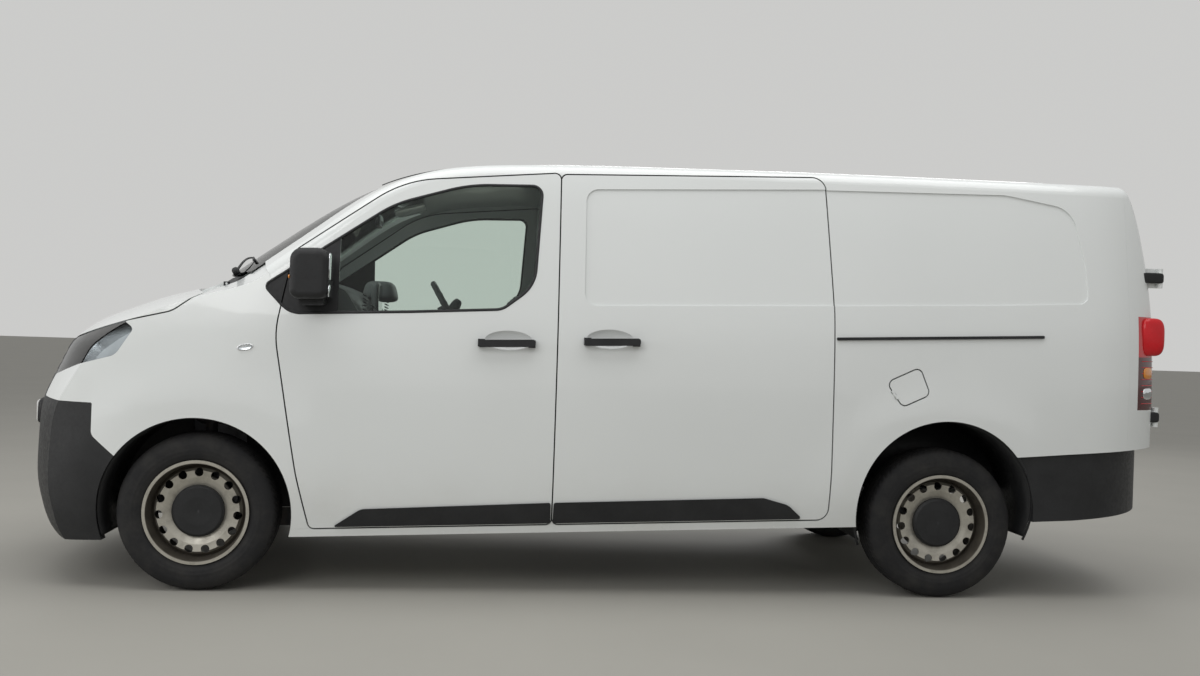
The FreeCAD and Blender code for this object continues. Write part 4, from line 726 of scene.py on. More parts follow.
plateLook = {"half": (0.004, 0.260, 0.056), "frontZ": 0.700}
x = float(noseX(0.0, plateLook["frontZ"])) + 0.003
holder = blockRings((x + 0.014, 0, plateLook["frontZ"]), (0.022, 0.270, 0.066), 7)
ringPiece("plateHolder", holder, "black_plastic", "body")
plate = blockRings((x - 0.011, 0, plateLook["frontZ"]), plateLook["half"], 9)
dressed(ringPiece("plateFront", plate, "body_paint", "body"), "plateWhite")

# Rear doors' handle and middle seal, and the lamp over them
handleLook = {"y": -0.075, "path": ((-0.004, 1.00), (0.026, 1.02), (0.036, 1.08), (0.036, 1.14), (0.026, 1.20),
                                    (-0.004, 1.22)), "radius": 0.013}
x = float(tailX(-0.06, 1.12))
grip = smoothCurve([(x + out, handleLook["y"], z) for out, z in handleLook["path"]], 40)
ringPiece("rearHandle", tubeRings(grip, handleLook["radius"], 14), "black_plastic", "rear_door_left")
z = np.linspace(0.76, 1.80, 60)
strip = np.stack([tailX(0 * z, z) - 0.010, 0 * z, z], -1)
ringPiece("rearMiddleSeal", tubeRings(strip, 0.0026, 8), "black_plastic", "rear_door_left")
y = np.linspace(-0.11, 0.11, 30)
lampBar = np.stack([tailX(y, 1.868) + 0.002, y, 0 * y + 1.868], -1)
ringPiece("highBrakeLamp", tubeRings(lampBar, 0.011, 12, 0.8), "lamp_red", "body")
print("outside details done")

# Wipers on the windscreen
wiperLook = {"pivots": (-0.62, 0.10), "blade": 0.58, "arm": 0.31, "bladeUp": 0.006, "armUp": 0.012, "armBow": 0.014}
for number, pivotY in enumerate(wiperLook["pivots"], 1):
    t = np.linspace(0, 1, 40)
    bladeY = pivotY + 0.03 + wiperLook["blade"] * t
    bladeX = front - 0.005 + 0.30 * bladeY ** 2 + 0.055 + 0.02 * np.sin(np.pi * t)
    blade = np.stack([bladeX, bladeY, roofHeight(bladeX, bladeY) + wiperLook["bladeUp"]], -1)
    pivotX = front + 0.30 * pivotY ** 2 - 0.035
    armX, armY = pivotX + (bladeX[20] - pivotX) * t, pivotY + wiperLook["arm"] * t
    armZ = roofHeight(armX, armY) + wiperLook["armUp"] + wiperLook["armBow"] * np.sin(np.pi * t)
    arm = np.stack([armX, armY, armZ], -1)
    boss = latheRings([(-0.014, 0.016), (0.012, 0.016), (0.020, 0.010), (0.022, 0.002)], arm[0], (-0.5, 0, 0.85), 20)
    wiper = [tubeRings(blade, 0.0055, 8, 1.6), tubeRings(arm, 0.006 - 0.002 * t, 10), boss]
    joinRings(f"wiper_{number}", wiper, "black_plastic", "body")
print("wipers done")

# Cab: padded seats and headrests on their stems, and plinths
seats = {"driver": {"y": 0.430, "half": 0.235, "rests": (0.430,)},
         "passenger": {"y": -0.320, "half": 0.440, "rests": (-0.540, -0.100)}}
seatLook = {"swell": 0.014, "voxel": 0.007, "frames": 14, "pressure": 4.0, "lean": 8, "gap": 0.012,
            "cushionAt": (-0.700, 0.646), "cushion": (0.226, 0.055), "backAt": (-0.440, 0.915),
            "back": (0.228, 0.046), "restAt": (-0.412, 1.242), "rest": (0.036, 0.112, 0.068),
            "stems": (-0.055, 0.055), "plinthAt": (-0.655, 0.366), "plinth": (0.215, 0.225)}


def seatBlock(centre, half, sharp, roll, tilt):
    # Superellipse block with raised side rolls: height gains roll times the square of the distance across.
    rings = blockRings((0, 0, 0), half, sharp, 48, 17)
    across = rings[..., 1] / half[1]
    rings[..., 2] += roll * across ** 2 * np.sign(rings[..., 2] + half[2]) * 0.5 * (1 + rings[..., 2] / half[2])
    rings[..., 0] -= 0.010 * (1 - across ** 2)
    return rings @ pitched(tilt).T + np.asarray(centre, float)


def swellPad(piece, share=1.0):
    # Cloth under light pressure, stepped to rest; each point's travel is capped, then the modifier is applied.
    remesh = piece.modifiers.new("voxels", "REMESH")
    remesh.mode = "VOXEL"
    remesh.voxel_size = seatLook["voxel"]
    context = bpy.context
    with context.temp_override(object=piece, active_object=piece, selected_objects=[piece]):
        bpy.ops.object.modifier_apply(modifier="voxels")
    count = len(piece.data.vertices)
    before = np.empty(count * 3)
    piece.data.vertices.foreach_get("co", before)
    cloth = piece.modifiers.new("cloth", "CLOTH")
    cloth.settings.quality = 4
    cloth.settings.use_pressure = True
    cloth.settings.uniform_pressure_force = seatLook["pressure"] * share
    cloth.settings.tension_stiffness = 12
    cloth.settings.bending_stiffness = 0.6
    cloth.settings.effector_weights.gravity = 0
    cloth.point_cache.frame_start = 1
    cloth.point_cache.frame_end = seatLook["frames"]
    for step in range(1, seatLook["frames"] + 1):
        context.scene.frame_set(step)
    shaped = piece.evaluated_get(context.evaluated_depsgraph_get())
    after = np.empty(count * 3)
    shaped.data.vertices.foreach_get("co", after)
    piece.modifiers.remove(cloth)
    context.scene.frame_set(1)
    move = (after - before).reshape(-1, 3)
    length = np.linalg.norm(move, axis=1, keepdims=True)
    move *= np.minimum(1, seatLook["swell"] / np.maximum(length, 1e-9))
    piece.data.vertices.foreach_set("co", (before.reshape(-1, 3) + move).ravel())
    piece.data.polygons.foreach_set("use_smooth", np.full(len(piece.data.polygons), True))
    piece.data.update()


for name, seat in seats.items():
    share = seat["half"] / len(seat["rests"])
    wide = share - seatLook["gap"]
    for number, y in enumerate(seat["rests"], 1):
        (x, z), (long, high) = seatLook["cushionAt"], seatLook["cushion"]
        rings = seatBlock((x, y, z), (long, wide, high), 4.2, 0.022, 4)
        piece = ringPiece(f"{name}Cushion_{number}", rings, "seat_cloth", "body")
        swellPad(piece)
        if number == 1:
            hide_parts(f"seat_{name}")
        # The back is the same block stood up: its length turns from level to the lean.
        (x, z), (long, high) = seatLook["backAt"], seatLook["back"]
        rings = seatBlock((0, 0, 0), (long, wide, high), 4.2, 0.026, 0)
        rings[..., 1] *= 1 - 0.10 * smoothStep(0.1, 1.0, rings[..., 0] / long)
        rings = rings @ pitched(seatLook["lean"] - 90).T + np.array((x, y, z))
        piece = ringPiece(f"{name}Back_{number}", rings, "seat_cloth", "body")
        swellPad(piece)
        x, z = seatLook["restAt"]
        head = blockRings((0, 0, 0), seatLook["rest"], 3.6, 40, 15, 0.08)
        head[..., 0] -= 0.012 * (1 - (head[..., 1] / 0.118) ** 2)
        piece = ringPiece(f"{name}Headrest_{number}", head + np.array((x, y, z)), "seat_cloth", "body")
        swellPad(piece, 0.6)
        stems = [[(x - 0.006, y + s, 1.10), (x - 0.003, y + s, 1.18), (x, y + s, 1.25)] for s in seatLook["stems"]]
        stems = [tubeRings(smoothCurve(path, 12), 0.0055, 10) for path in stems]
        joinRings(f"{name}Stems_{number}", stems, "exhaust_steel", "body")
    # Plinth: a superellipse in plan, drawn in halfway up
    t = np.linspace(0, 1, 12)[:, None]
    angle = fullTurn(72)[None]
    waist = 0.95 - 0.05 * np.sin(np.pi * t)
    (x, z), (long, high) = seatLook["plinthAt"], seatLook["plinth"]
    rings = np.stack([x + long * waist * squared(np.cos(angle), 0.3),
                      seat["y"] + (seat["half"] - 0.02) * waist * squared(np.sin(angle), 0.3),
                      z + high * t + 0 * angle], -1)
    ringPiece(f"{name}Plinth", rings, "cab_plastic", "body")
print("seats done")

# Dashboard fittings, column, wheel wrap and levers
dash = {"rear": front + 0.652, "wheel": (front + 1.010, 0.400, 1.235), "tilt": 60, "ring": 0.176,
        "vents": ((-0.62, 1.255), (-0.20, 1.215), (0.20, 1.215), (0.66, 1.255)), "knobs": (-0.06, 0.02, 0.10),
        "stalk": ((0.075, 0.03, 0), (0.070, 0.10, 0.01), (0.058, 0.165, 0.018))}
screenLook = Finish("blankScreen", (0.012, 0.013, 0.016), 0.08, Coat_Weight=0.5)
screenLook.rough(screenLook.span(screenLook.noise(12, 4), 0.4, 0.7, 0.06, 0.16))
finishes["screen"] = screenLook.material
x = dash["rear"]
fittings = [blockRings((x, 0.02, 1.285), (0.018, 0.135, 0.085), 6),
            blockRings((x - 0.010, 0.40, 1.335), (0.085, 0.165, 0.055), 4, taper=0.15)]
joinRings("dashPods", fittings, "cab_plastic", "body")
screen = blockRings((x + 0.0185, 0.02, 1.292), (0.0022, 0.120, 0.068), 9)
dressed(ringPiece("dashScreen", screen, "cab_plastic", "body"), "screen")
vents = [blockRings((x + 0.004, y, z - 0.032 + 0.016 * k), (0.010, 0.070, 0.0032), 5, 24, 5, tilt=28)
         for y, z in dash["vents"] for k in range(5)]
joinRings("dashVents", vents, "black_plastic", "body")
knob = [(-0.004, 0.022), (0.012, 0.022), (0.018, 0.019), (0.020, 0.003)]
knobs = [latheRings(knob, (x + 0.002, y, 1.115), (1, 0, 0), 28) for y in dash["knobs"]]
lever = smoothCurve([(x - 0.01, 0.13, 1.02), (x + 0.055, 0.13, 1.05), (x + 0.095, 0.13, 1.105)], 16)
knobs += [tubeRings(lever, 0.009, 12), blockRings((x + 0.100, 0.13, 1.125), (0.024, 0.022, 0.034), 2.6, 28, 11)]
joinRings("dashKnobs", knobs, "black_plastic", "body")
gloveLid = blockRings((x + 0.002, -0.48, 1.09), (0.010, 0.200, 0.085), 7)
ringPiece("gloveLid", gloveLid, "cab_plastic", "body")

centre = np.array(dash["wheel"])
tilt = math.radians(dash["tilt"])
axis = np.array((math.sin(tilt), 0, math.cos(tilt)))
level = np.array((0, 1.0, 0))
turnAngle = fullTurn(180)
circle = np.cos(turnAngle)[:, None] * level + np.sin(turnAngle)[:, None] * np.cross(axis, level)
ring = centre + dash["ring"] * circle
thick = 0.0148 + 0.0012 * np.cos(turnAngle * 9) ** 8
ringPiece("wheelWrap", tubeRings(ring, thick, 18, closed=True), "cab_plastic", "steering_wheel", closeEnds=False)
pad = blockRings((0, 0, 0), (0.030, 0.088, 0.074), 3.2, 48, 15, 0.1)
ringPiece("wheelPad", pad @ pitched(30).T + centre + axis * 0.018, "cab_plastic", "steering_wheel")
stalks = [[centre - axis * back + np.array((0, s * out, up)) for back, out, up in dash["stalk"]] for s in (-1, 1)]
stalks = [tubeRings(smoothCurve(path, 20), 0.0075, 10) for path in stalks]
joinRings("columnStalks", stalks, "black_plastic", "body")

# Mirror over the windscreen and sun visors
mirrorX, mirrorZ = front + 0.655, 1.680
rearView = [blockRings((mirrorX, 0.0, mirrorZ), (0.012, 0.118, 0.033), 4, taper=0.1),
             tubeRings(smoothCurve([(mirrorX - 0.008, 0, mirrorZ + 0.01), (mirrorX - 0.035, 0, mirrorZ + 0.05),
                                    (mirrorX - 0.045, 0, mirrorZ + 0.072)], 14), 0.008, 12)]
joinRings("cabMirror", rearView, "black_plastic", "body")
glass = blockRings((mirrorX + 0.0118, 0, mirrorZ), (0.0016, 0.110, 0.028), 6)
dressed(ringPiece("cabMirrorGlass", glass, "reflector", "body"), "mirror")
visors = [blockRings((front + 0.790, y, 1.775), (0.085, 0.190, 0.009), 5, 40, 9, tilt=-16) for y in (-0.38, 0.38)]
joinRings("sunVisors", visors, "inner_paint", "body")

# Cab floor: ribbed mat on the raked floor, and three hanging pedals
cabFloor = {"level": 0.330, "mid": (-1.135, 0.0), "half": (0.188, 0.700), "mat": 0.006, "ribs": 26, "ribHigh": 0.0012,
            "pad": ((0.011, 0.030, 0.036), (0.011, 0.030, 0.036), (0.010, 0.024, 0.060)),
            "pedalY": (0.315, 0.410, 0.505), "padAt": (-1.375, 0.505), "pivot": (-1.455, 0.735), "arm": 0.007}


def cabFloorZ(x):
    # Level floor of the cab, lifted by the rake.
    return cabFloor["level"] + body["rake"] * (x - front)


turn = fullTurn(160)
matRings = []
for share, high in [(1.0, 0.0003), (1.0, 0.8), (0.985, 1.0)] + [(k, 1.0) for k in np.linspace(0.96, 0.02, 40)]:
    (x, y), (long, wide) = cabFloor["mid"], cabFloor["half"]
    x = x + share * long * squared(np.cos(turn), 0.25)
    y = y + share * wide * squared(np.sin(turn), 0.25)
    rib = cabFloor["ribHigh"] * (high == 1.0) * np.sin(x * cabFloor["ribs"] * 2 * np.pi / (2 * long))
    matRings.append(np.stack([x, y, cabFloorZ(x) + high * cabFloor["mat"] + rib], -1))
ringPiece("cabMat", np.stack(matRings), "black_plastic", "body")
pedals = []
for y, half in zip(cabFloor["pedalY"], cabFloor["pad"]):
    x, z = cabFloor["padAt"]
    pedals.append(blockRings((x, y, z), half, 5, tilt=-24))
    t = np.linspace(0, 1, 40)[:, None]
    low, high = np.array([x - 0.006, y, z]), np.array([cabFloor["pivot"][0], y, cabFloor["pivot"][1]])
    bend = np.array([x - 0.085, y, z + 0.060])
    pedals.append(tubeRings((1 - t) ** 2 * low + 2 * t * (1 - t) * bend + t ** 2 * high, cabFloor["arm"], 12))
joinRings("pedals", pedals, "black_plastic", "body")
print("cab fittings done")

# Plates laid on the skin's inner faces: load space linings, door cards, rear door trims
def laidOnSide(middle, half, deep, thick, side, sharp=7):
    # Rounded plate in the side view, its faces at a depth below the skin and that depth plus the thickness.
    rings = blockRings((0, 0, 0), (half[0], half[1], 1.0), sharp, 96, 7)
    x, z = middle[0] + rings[..., 0], middle[1] + rings[..., 1]
    return onSide(x, z, -deep - thick * (0.5 + 0.5 * rings[..., 2]), side)


def laidOnTail(middle, half, deep, thick, sharp=7):
    # The same plate laid on the tail, across and up.
    rings = blockRings((0, 0, 0), (half[0], half[1], 1.0), sharp, 72, 7)
    y, z = middle[0] + rings[..., 0], middle[1] + rings[..., 1]
    return np.stack([tailX(y, z) - deep - thick * (0.5 + 0.5 * rings[..., 2]), y, z], -1)


def helix(low, high, radius, turns, wire):
    # Wire wound on a cylinder between two points: angle grows evenly with the distance along.
    low, high = np.asarray(low, float), np.asarray(high, float)
    axis = (high - low) / np.linalg.norm(high - low)
    side = np.cross(axis, (1.0, 0, 0))
    side /= np.linalg.norm(side)
    other = np.cross(axis, side)
    t = np.linspace(0, 1, int(turns * 28))[:, None]
    angle = t * turns * 2 * np.pi
    return tubeRings(low + (high - low) * t + radius * (np.cos(angle) * side + np.sin(angle) * other), wire, 8)


def loadFloor(x):
    # Level floor of the load space, lifted by the rake.
    return 0.520 + liftAt(x)


ply = Finish("plyLining", (0.34, 0.25, 0.16), 0.55)
grain = ply.noise(1.0, 6, 0.6, ply.stretched((3, 3, 70)))
ply.color(ply.blend(ply.span(grain, 0.35, 0.7), (0.36, 0.27, 0.17), (0.25, 0.175, 0.105)))
ply.rough(ply.span(grain, 0.3, 0.7, 0.45, 0.65))
ply.bump(grain, 0.2, 0.0008)
finishes["ply"] = ply.material


load = {"front": -0.245, "rear": 2.480, "half": 0.545, "wall": 0.0565, "rib": 0.060, "lining": 0.006,
        "rings": (0.02, 0.90, 1.98, 2.36), "ringY": 0.50, "bows": (-0.10, 0.55, 1.20, 1.85)}
gx, gy = np.meshgrid(np.linspace(load["front"], load["rear"], 30), np.linspace(-load["half"], load["half"], 420),
                     indexing="ij")
ribs = 0.0030 * smoothStep(-0.25, 0.25, np.sin(gy * 2 * np.pi / load["rib"]))
top = np.stack([gx, gy, loadFloor(gx) + 0.0022 + ribs], -1)
under = np.stack([gx, gy, loadFloor(gx) + 0.0006 + 0 * ribs], -1)[:, ::-1]
dressed(ringPiece("loadMat", np.concatenate([top, under], 1), "inner_paint", "body", smooth=False), "ply")
for side, sign in sides:
    plates = [laidOnSide(middle, half, load["wall"], load["lining"], sign) for middle, half in
              (((0.355, 1.10), (0.50, 0.30)), ((1.665, 1.20), (0.60, 0.27)), ((1.665, 1.66), (0.60, 0.12)))]
    dressed(joinRings(f"loadLinings_{side}", plates, "inner_paint", "body"), "ply")
    rings = []
    for x in load["rings"]:
        y, z = sign * load["ringY"], float(loadFloor(x)) + 0.006
        dish = [(0, 0.026), (0.003, 0.026), (0.006, 0.021), (0.006, 0.002)]
        rings.append(latheRings(dish, (x, y, z - 0.002), (0, 0, 1), 28))
        angle = fullTurn(36)
        loop = [x + 0.019 * np.cos(angle), y + 0.019 * np.sin(angle), z + 0.0075 + 0.004 * np.sin(angle)]
        rings.append(tubeRings(np.stack(loop, -1), 0.0032, 8, closed=True))
    joinRings(f"lashingRings_{side}", rings, "exhaust_steel", "body")
bows = []
for x in load["bows"]:
    y = np.linspace(-0.68, 0.68, 50)
    bows.append(tubeRings(np.stack([0 * y + x, y, roofHeight(0 * y + x, y) - 0.047], -1), 0.018, 12, 0.55))
joinRings("roofBows", bows, "inner_paint", "body")
bars = [tubeRings(np.array([(load["front"] - 0.012, y, z) for z in (0.66, 1.2, 1.78)]), 0.020, 14, 0.4)
        for y in np.linspace(-0.66, 0.66, 7)]
joinRings("bulkheadRibs", bars, "inner_paint", "body")
lamp = blockRings((2.05, 0.0, float(roofHeight(2.05, 0)) - 0.044), (0.055, 0.03, 0.008), 5)
ringPiece("loadLamp", lamp, "lamp_clear", "body")

for side, sign in sides:
    cards = [laidOnSide(middle, half, 0.0565, thick, sign, sharp) for middle, half, thick, sharp in
             (((-0.835, 0.83), (0.475, 0.31), 0.010, 5), ((-0.80, 1.00), (0.36, 0.045), 0.050, 4),
              ((-0.83, 0.585), (0.33, 0.060), 0.045, 4))]
    joinRings(f"doorCard_{side}", cards, "cab_plastic", f"door_{side}")
    pull = smoothCurve([(-1.02, 1.075), (-0.97, 1.10), (-0.80, 1.105), (-0.66, 1.10), (-0.62, 1.075)], 30)
    deep = np.interp(np.linspace(0, 1, 30), (0, 0.2, 0.8, 1), (0.062, 0.092, 0.092, 0.062))
    grip = tubeRings(onSide(pull[:, 0], pull[:, 1], -deep, sign), 0.011, 12)
    ringPiece(f"doorPull_{side}", grip, "black_plastic", f"door_{side}")
    plates = [laidOnTail((sign * 0.40, z), half, 0.0462, load["lining"])
              for z, half in ((1.06, (0.26, 0.22)), (1.52, (0.25, 0.15)))]
    dressed(joinRings(f"rearTrim_{side}", plates, "inner_paint", f"rear_door_{side}"), "ply")
print("load space done")

# Running gear: discs, calipers, springs, shafts
gear = {"disc": 0.142, "hat": 0.072, "frontDisc": 0.772, "rearDisc": 0.742, "pinY": 0.7235, "lean": math.radians(13)}
for axle, axleX, across in (("front", front, gear["frontDisc"]), ("rear", rear, gear["rearDisc"])):
    for side, sign in sides:
        hat, edge = gear["hat"], gear["disc"]
        section = [(-0.011, hat), (-0.011, edge - 0.002), (-0.009, edge), (-0.003, edge), (-0.0025, edge - 0.010),
                   (0.0025, edge - 0.010), (0.003, edge), (0.009, edge), (0.011, edge - 0.002), (0.011, hat + 0.004),
                   (0.034, hat), (0.034, 0.036), (0.028, 0.036), (0.028, hat - 0.006), (-0.011, hat - 0.006)]
        centre = (axleX, sign * across, body["tyreRadius"])
        disc = latheRings([(sign * a, r) for a, r in section], centre, (0, 1.0, 0), 64)
        disc = np.concatenate([disc, disc[:1]], 0)
        ringPiece(f"brakeDisc_{axle}_{side}", disc, "exhaust_steel", f"wheel_{axle}_{side}", closeEnds=False)
        turned = 1 if axle == "front" else -1
        x = axleX + turned * 0.128
        blocks = [blockRings((x, sign * (across + 0.020), 0.372), (0.024, 0.0075, 0.055), 4),
                  blockRings((x, sign * (across - 0.026), 0.372), (0.026, 0.013, 0.055), 4),
                  blockRings((x + turned * 0.021, sign * (across - 0.003), 0.372), (0.0045, 0.034, 0.045), 4)]
        carrier = f"knuckle_{side}" if axle == "front" else "body"
        joinRings(f"caliper_{axle}_{side}", blocks, "engine_iron", carrier)
for side, sign in sides:
    base = np.array((front, sign * gear["pinY"], body["tyreRadius"]))
    up = np.array((0, -sign * math.sin(gear["lean"]), math.cos(gear["lean"])))
    low, high = (base + up * (z - body["tyreRadius"]) / up[2] for z in (0.700, 0.858))
    joinRings(f"frontSpring_{side}", [helix(low, high, 0.0640, 4.5, 0.0058)], "chassis_paint", f"knuckle_{side}")
    t = np.linspace(0, 1, 60)
    y = sign * (0.318 + 0.355 * t)
    boots = np.maximum(smoothStep(0.30, 0.22, t), smoothStep(0.72, 0.80, t))
    radius = 0.0125 + boots * (0.022 + 0.006 * np.sin(t * 150))
    shaft = tubeRings(np.stack([front + 0.004 + 0 * t, y, 0.352 - 0.010 * t], -1), radius, 20)
    ringPiece(f"driveshaft_{side}", shaft, "tyre", "body")
print("running gear done")

# Engine bay, seen with the bonnet up
bay = {"top": 1.000, "cover": (-1.81, 0.180, 0.200)}
ribX, ribY = np.meshgrid(np.linspace(-1.99, -1.63, 60), np.linspace(-0.20, 0.20, 200), indexing="ij")
middle, long, wide = bay["cover"]
edge = smoothStep(0.0, 0.035, long - np.abs(ribX - middle)) * smoothStep(0.0, 0.035, wide - np.abs(ribY))
ribs = smoothStep(-0.2, 0.2, np.sin(ribY * 2 * np.pi / 0.04)) * smoothStep(0.13, 0.10, np.abs(ribX - middle))
lid = 0.006 + 0.036 * edge + 0.004 * edge * ribs
cover = np.concatenate([np.stack([ribX, ribY, bay["top"] + lid], -1),
                        np.stack([ribX, ribY, bay["top"] + 0.003 + 0 * lid], -1)[:, ::-1]], 1)
ringPiece("engineCover", cover, "cab_plastic", "body")
oilCap = [(0, 0.034), (0.020, 0.034), (0.026, 0.030), (0.027, 0.003)]
caps = [latheRings(oilCap, (-1.70, 0.235, bay["top"]), (0, 0, 1)),
        latheRings([(0, 0.010), (0.05, 0.009), (0.052, 0.002)], (-1.93, 0.25, bay["top"]), (0, 0, 1), 20)]
joinRings("engineCaps", caps, "black_plastic", "body")
boxes = [blockRings((-1.945, -0.345, 0.955), (0.085, 0.022, 0.080), 7),
         blockRings((-1.84, 0.355, 0.96), (0.070, 0.032, 0.075), 4),
         blockRings((-1.64, -0.355, 0.98), (0.055, 0.030, 0.060), 4)]
joinRings("bayBoxes", boxes, "black_plastic", "body")
bottle = [(-0.08, 0.002), (-0.08, 0.040), (-0.02, 0.045), (0.03, 0.042), (0.05, 0.022), (0.062, 0.022),
          (0.064, 0.002)]
bottles = [latheRings(bottle, (x, y, 1.02), (0, 0, 1), 36) for x, y in ((-1.60, 0.40), (-2.02, 0.37))]
joinRings("bayBottles", bottles, "lamp_clear", "body")
hoses = [[(-2.07, 0.16, 1.02), (-2.02, 0.20, 1.05), (-1.94, 0.26, 1.03), (-1.87, 0.30, 1.01)],
         [(-2.07, -0.16, 1.00), (-2.03, -0.22, 1.04), (-1.90, -0.27, 1.05), (-1.76, -0.26, 1.02)],
         [(-1.60, 0.40, 1.03), (-1.585, 0.30, 1.05), (-1.575, 0.10, 1.04), (-1.60, -0.10, 1.02)]]
hoses = [tubeRings(smoothCurve(path, 40), radius, 14) for path, radius in zip(hoses, (0.019, 0.026, 0.010))]
joinRings("bayHoses", hoses, "tyre", "body")
print("engine bay done")

# Panel joints, plates and lamps
joints = []
x = np.linspace(-1.05, 2.355, 160)
for sign in (-1, 1):
    y = sign * 0.7353 + 0 * x
    joints.append(tubeRings(np.stack([x, y, roofHeight(x, y) - 0.0022], -1), 0.0022, 8))
joinRings("roofJoints", joints, "black_plastic", "body")
beads = []
x = np.linspace(-0.62, 2.12, 120)
for y in (-0.50, -0.25, 0.0, 0.25, 0.50):
    rise = 0.004 * smoothStep(0, 0.06, x - x[0]) * smoothStep(0, 0.06, x[-1] - x)
    beads.append(tubeRings(np.stack([x, y + 0 * x, roofHeight(x, y + 0 * x) - 0.006 + rise], -1), 0.020, 18, 0.28))
joinRings("roofBeads", beads, "body_paint", "body")
plateRear = {"middle": (-0.40, 0.930), "half": (0.260, 0.056), "holder": (0.268, 0.064), "lampAt": (-0.40, 1.010),
             "lamp": (0.150, 0.016)}
plate = laidOnTail(plateRear["middle"], plateRear["half"], -0.009, 0.005, 9)
dressed(ringPiece("plateRear", plate, "body_paint", "rear_door_left"), "plateYellow")
holder = laidOnTail(plateRear["middle"], plateRear["holder"], -0.004, 0.005, 9)
ringPiece("plateRearHolder", holder, "black_plastic", "rear_door_left")
lamp = laidOnTail(plateRear["lampAt"], plateRear["lamp"], -0.018, 0.018, 4)
ringPiece("plateLamp", lamp, "black_plastic", "rear_door_left")

# Tail lamps: ribs and a bulge on the lens, two round lamps, and the hinges' covers
tailLook = {"bulge": ((2.505, 0.850, 1.214), (0.058, 0.034, 0.088)), "ribX": (2.446, 2.532), "ribZ": (0.905, 1.100),
            "signal": (2.492, 1.045, 0.034, 0.026), "reverse": (2.492, 0.950, 0.034, 0.026),
            "hingeZ": (0.840, 1.490), "hinge": ((2.518, 0.8185), (0.056, 0.0112, 0.0253))}
tailProfile = [(1.0, -0.003), (1.0, 0.002), (0.88, 0.0038), (0.5, 0.0046), (0.12, 0.0048)]
for side, sign in sides:
    x = np.linspace(*tailLook["ribX"], 24)
    rows = [tubeRings(onSide(x, 0 * x + z, 0.0004, sign), 0.0016, 8) for z in np.linspace(*tailLook["ribZ"], 8)]
    joinRings(f"tailLampRibs_{side}", rows, "lamp_red", "body")
    (x, y, z), half = tailLook["bulge"]
    ringPiece(f"tailBulge_{side}", blockRings((x, sign * y, z), half, 3.4, 72, 28), "lamp_red", "body")
    for name, finish in (("signal", "amber"), ("reverse", "mirror")):
        x, z, a, b = tailLook[name]
        oval = np.stack([x + a * squared(np.cos(around), 0.6), z + b * squared(np.sin(around), 0.6)], -1)
        rings = sideCap(oval, tailProfile, sign)
        dressed(ringPiece(f"tail{name.capitalize()}_{side}", rings, "lamp_clear", "body"), finish)
    (x, y), half = tailLook["hinge"]
    arms = [blockRings((x, sign * y, z), half, 5) for z in tailLook["hingeZ"]]
    joinRings(f"hingeCovers_{side}", arms, "black_plastic", "body")
lock = onSide(*np.array(detail["lockAt"]), 0.024, -1)
barrel = [(-0.012, 0.010), (0.0, 0.010), (0.002, 0.008), (0.001, 0.0045), (-0.002, 0.004), (-0.002, 0.001)]
ringPiece("doorLock", latheRings(barrel, lock, (0, -1, 0), 32), "exhaust_steel", "door_left")
print("outside joints done")

# Stage: floor, light and camera
stageLook = {"floor": (0.36, 0.35, 0.315), "sky": (0.80, 0.80, 0.80), "skyPower": 0.52,
             "shownSky": (0.60, 0.60, 0.59), "floorReach": 60.0}
reach = stageLook["floorReach"]
u, v = np.meshgrid(np.linspace(-reach, reach, 9), np.linspace(-reach, reach, 9), indexing="ij")
floorLook = Finish("floorPale", stageLook["floor"], 0.7)
floorLook.color(floorLook.blend(floorLook.span(floorLook.noise(1.2, 5), 0.35, 0.7), stageLook["floor"],
                                tuple(c * 0.96 for c in stageLook["floor"])))
floorMesh = bpy.data.meshes.new("stageFloor")
floorMesh.from_pydata(np.stack([u, v, 0 * u - 0.0005], -1).reshape(-1, 3).tolist(), [],
                      gridFaces(9, 9)[:, ::-1].tolist())
floorMesh.materials.append(floorLook.material)
floor = bpy.data.objects.new("stageFloor", floorMesh)
bpy.context.scene.collection.objects.link(floor)

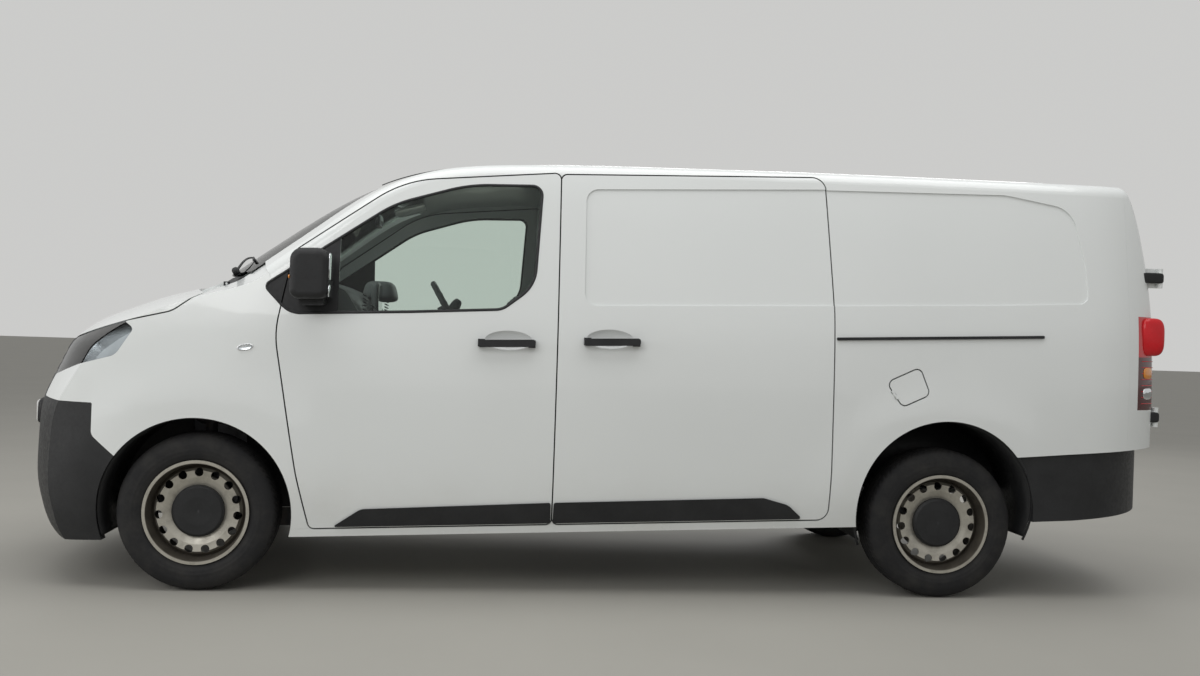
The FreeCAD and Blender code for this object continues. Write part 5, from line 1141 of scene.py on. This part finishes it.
world = bpy.data.worlds.new("studio")
bpy.context.scene.world = world
world.use_nodes = True
background = world.node_tree.nodes["Background"]
background.inputs["Color"].default_value = (*stageLook["sky"], 1)
background.inputs["Strength"].default_value = stageLook["skyPower"]
shown = world.node_tree.nodes.new("ShaderNodeBackground")
shown.inputs["Color"].default_value = (*stageLook["shownSky"], 1)
paths = world.node_tree.nodes.new("ShaderNodeLightPath")
seen = paths.outputs["Is Camera Ray"]
for ray in ("Is Glossy Ray", "Is Transmission Ray"):
    either = world.node_tree.nodes.new("ShaderNodeMath")
    either.operation = "MAXIMUM"
    world.node_tree.links.new(seen, either.inputs[0])
    world.node_tree.links.new(paths.outputs[ray], either.inputs[1])
    seen = either.outputs[0]
choice = world.node_tree.nodes.new("ShaderNodeMixShader")
world.node_tree.links.new(seen, choice.inputs[0])
world.node_tree.links.new(background.outputs[0], choice.inputs[1])
world.node_tree.links.new(shown.outputs[0], choice.inputs[2])
world.node_tree.links.new(choice.outputs[0], world.node_tree.nodes["World Output"].inputs["Surface"])

lamps = [("top", (0.0, -1.5, 6.5), (9.0, 5.0), 250, (0, 0, 0.8)),
         ("key", (-4.5, -7.5, 4.8), (5.0, 3.0), 150, (0, 0, 0.9)),
         ("nose", (-8.5, -2.5, 2.6), (2.5, 3.0), 110, (-2, 0, 0.8)),
         ("back", (3.0, 8.0, 4.6), (6.0, 3.0), 150, (0, 0, 1.0))]
for name, place, extent, power, target in lamps:
    light = bpy.data.lights.new(name, "AREA")
    light.shape = "RECTANGLE"
    light.size, light.size_y = extent
    light.energy = power
    lamp = bpy.data.objects.new(name, light)
    aim = (Vector(place) - Vector(target)).to_track_quat("Z", "Y")
    lamp.matrix_world = Matrix.LocRotScale(Vector(place), aim, None)
    bpy.context.scene.collection.objects.link(lamp)

shot = {"place": (-0.611, -6.2, 1.153), "yaw": 5.8, "pitch": 0.25, "roll": 1.83, "focal": 1212.9, "pixels": 1200,
        "sensor": 36.0}
yaw, pitch, roll = (math.radians(shot[name]) for name in ("yaw", "pitch", "roll"))
ahead = Vector((math.sin(yaw) * math.cos(pitch), math.cos(yaw) * math.cos(pitch), -math.sin(pitch)))
level = Vector((math.cos(yaw), -math.sin(yaw), 0))
over = level.cross(ahead)
across = level * math.cos(roll) + over * math.sin(roll)
upward = over * math.cos(roll) - level * math.sin(roll)
cameraData = bpy.data.cameras.new("camera")
cameraData.sensor_width = shot["sensor"]
cameraData.lens = shot["focal"] * shot["sensor"] / shot["pixels"]
camera = bpy.data.objects.new("camera", cameraData)
turn = Matrix((across, upward, -ahead)).transposed().to_4x4()
camera.matrix_world = Matrix.Translation(Vector(shot["place"])) @ turn
bpy.context.scene.collection.objects.link(camera)
bpy.context.scene.camera = camera
bpy.context.scene.view_settings.view_transform = "Standard"

print("scene done")
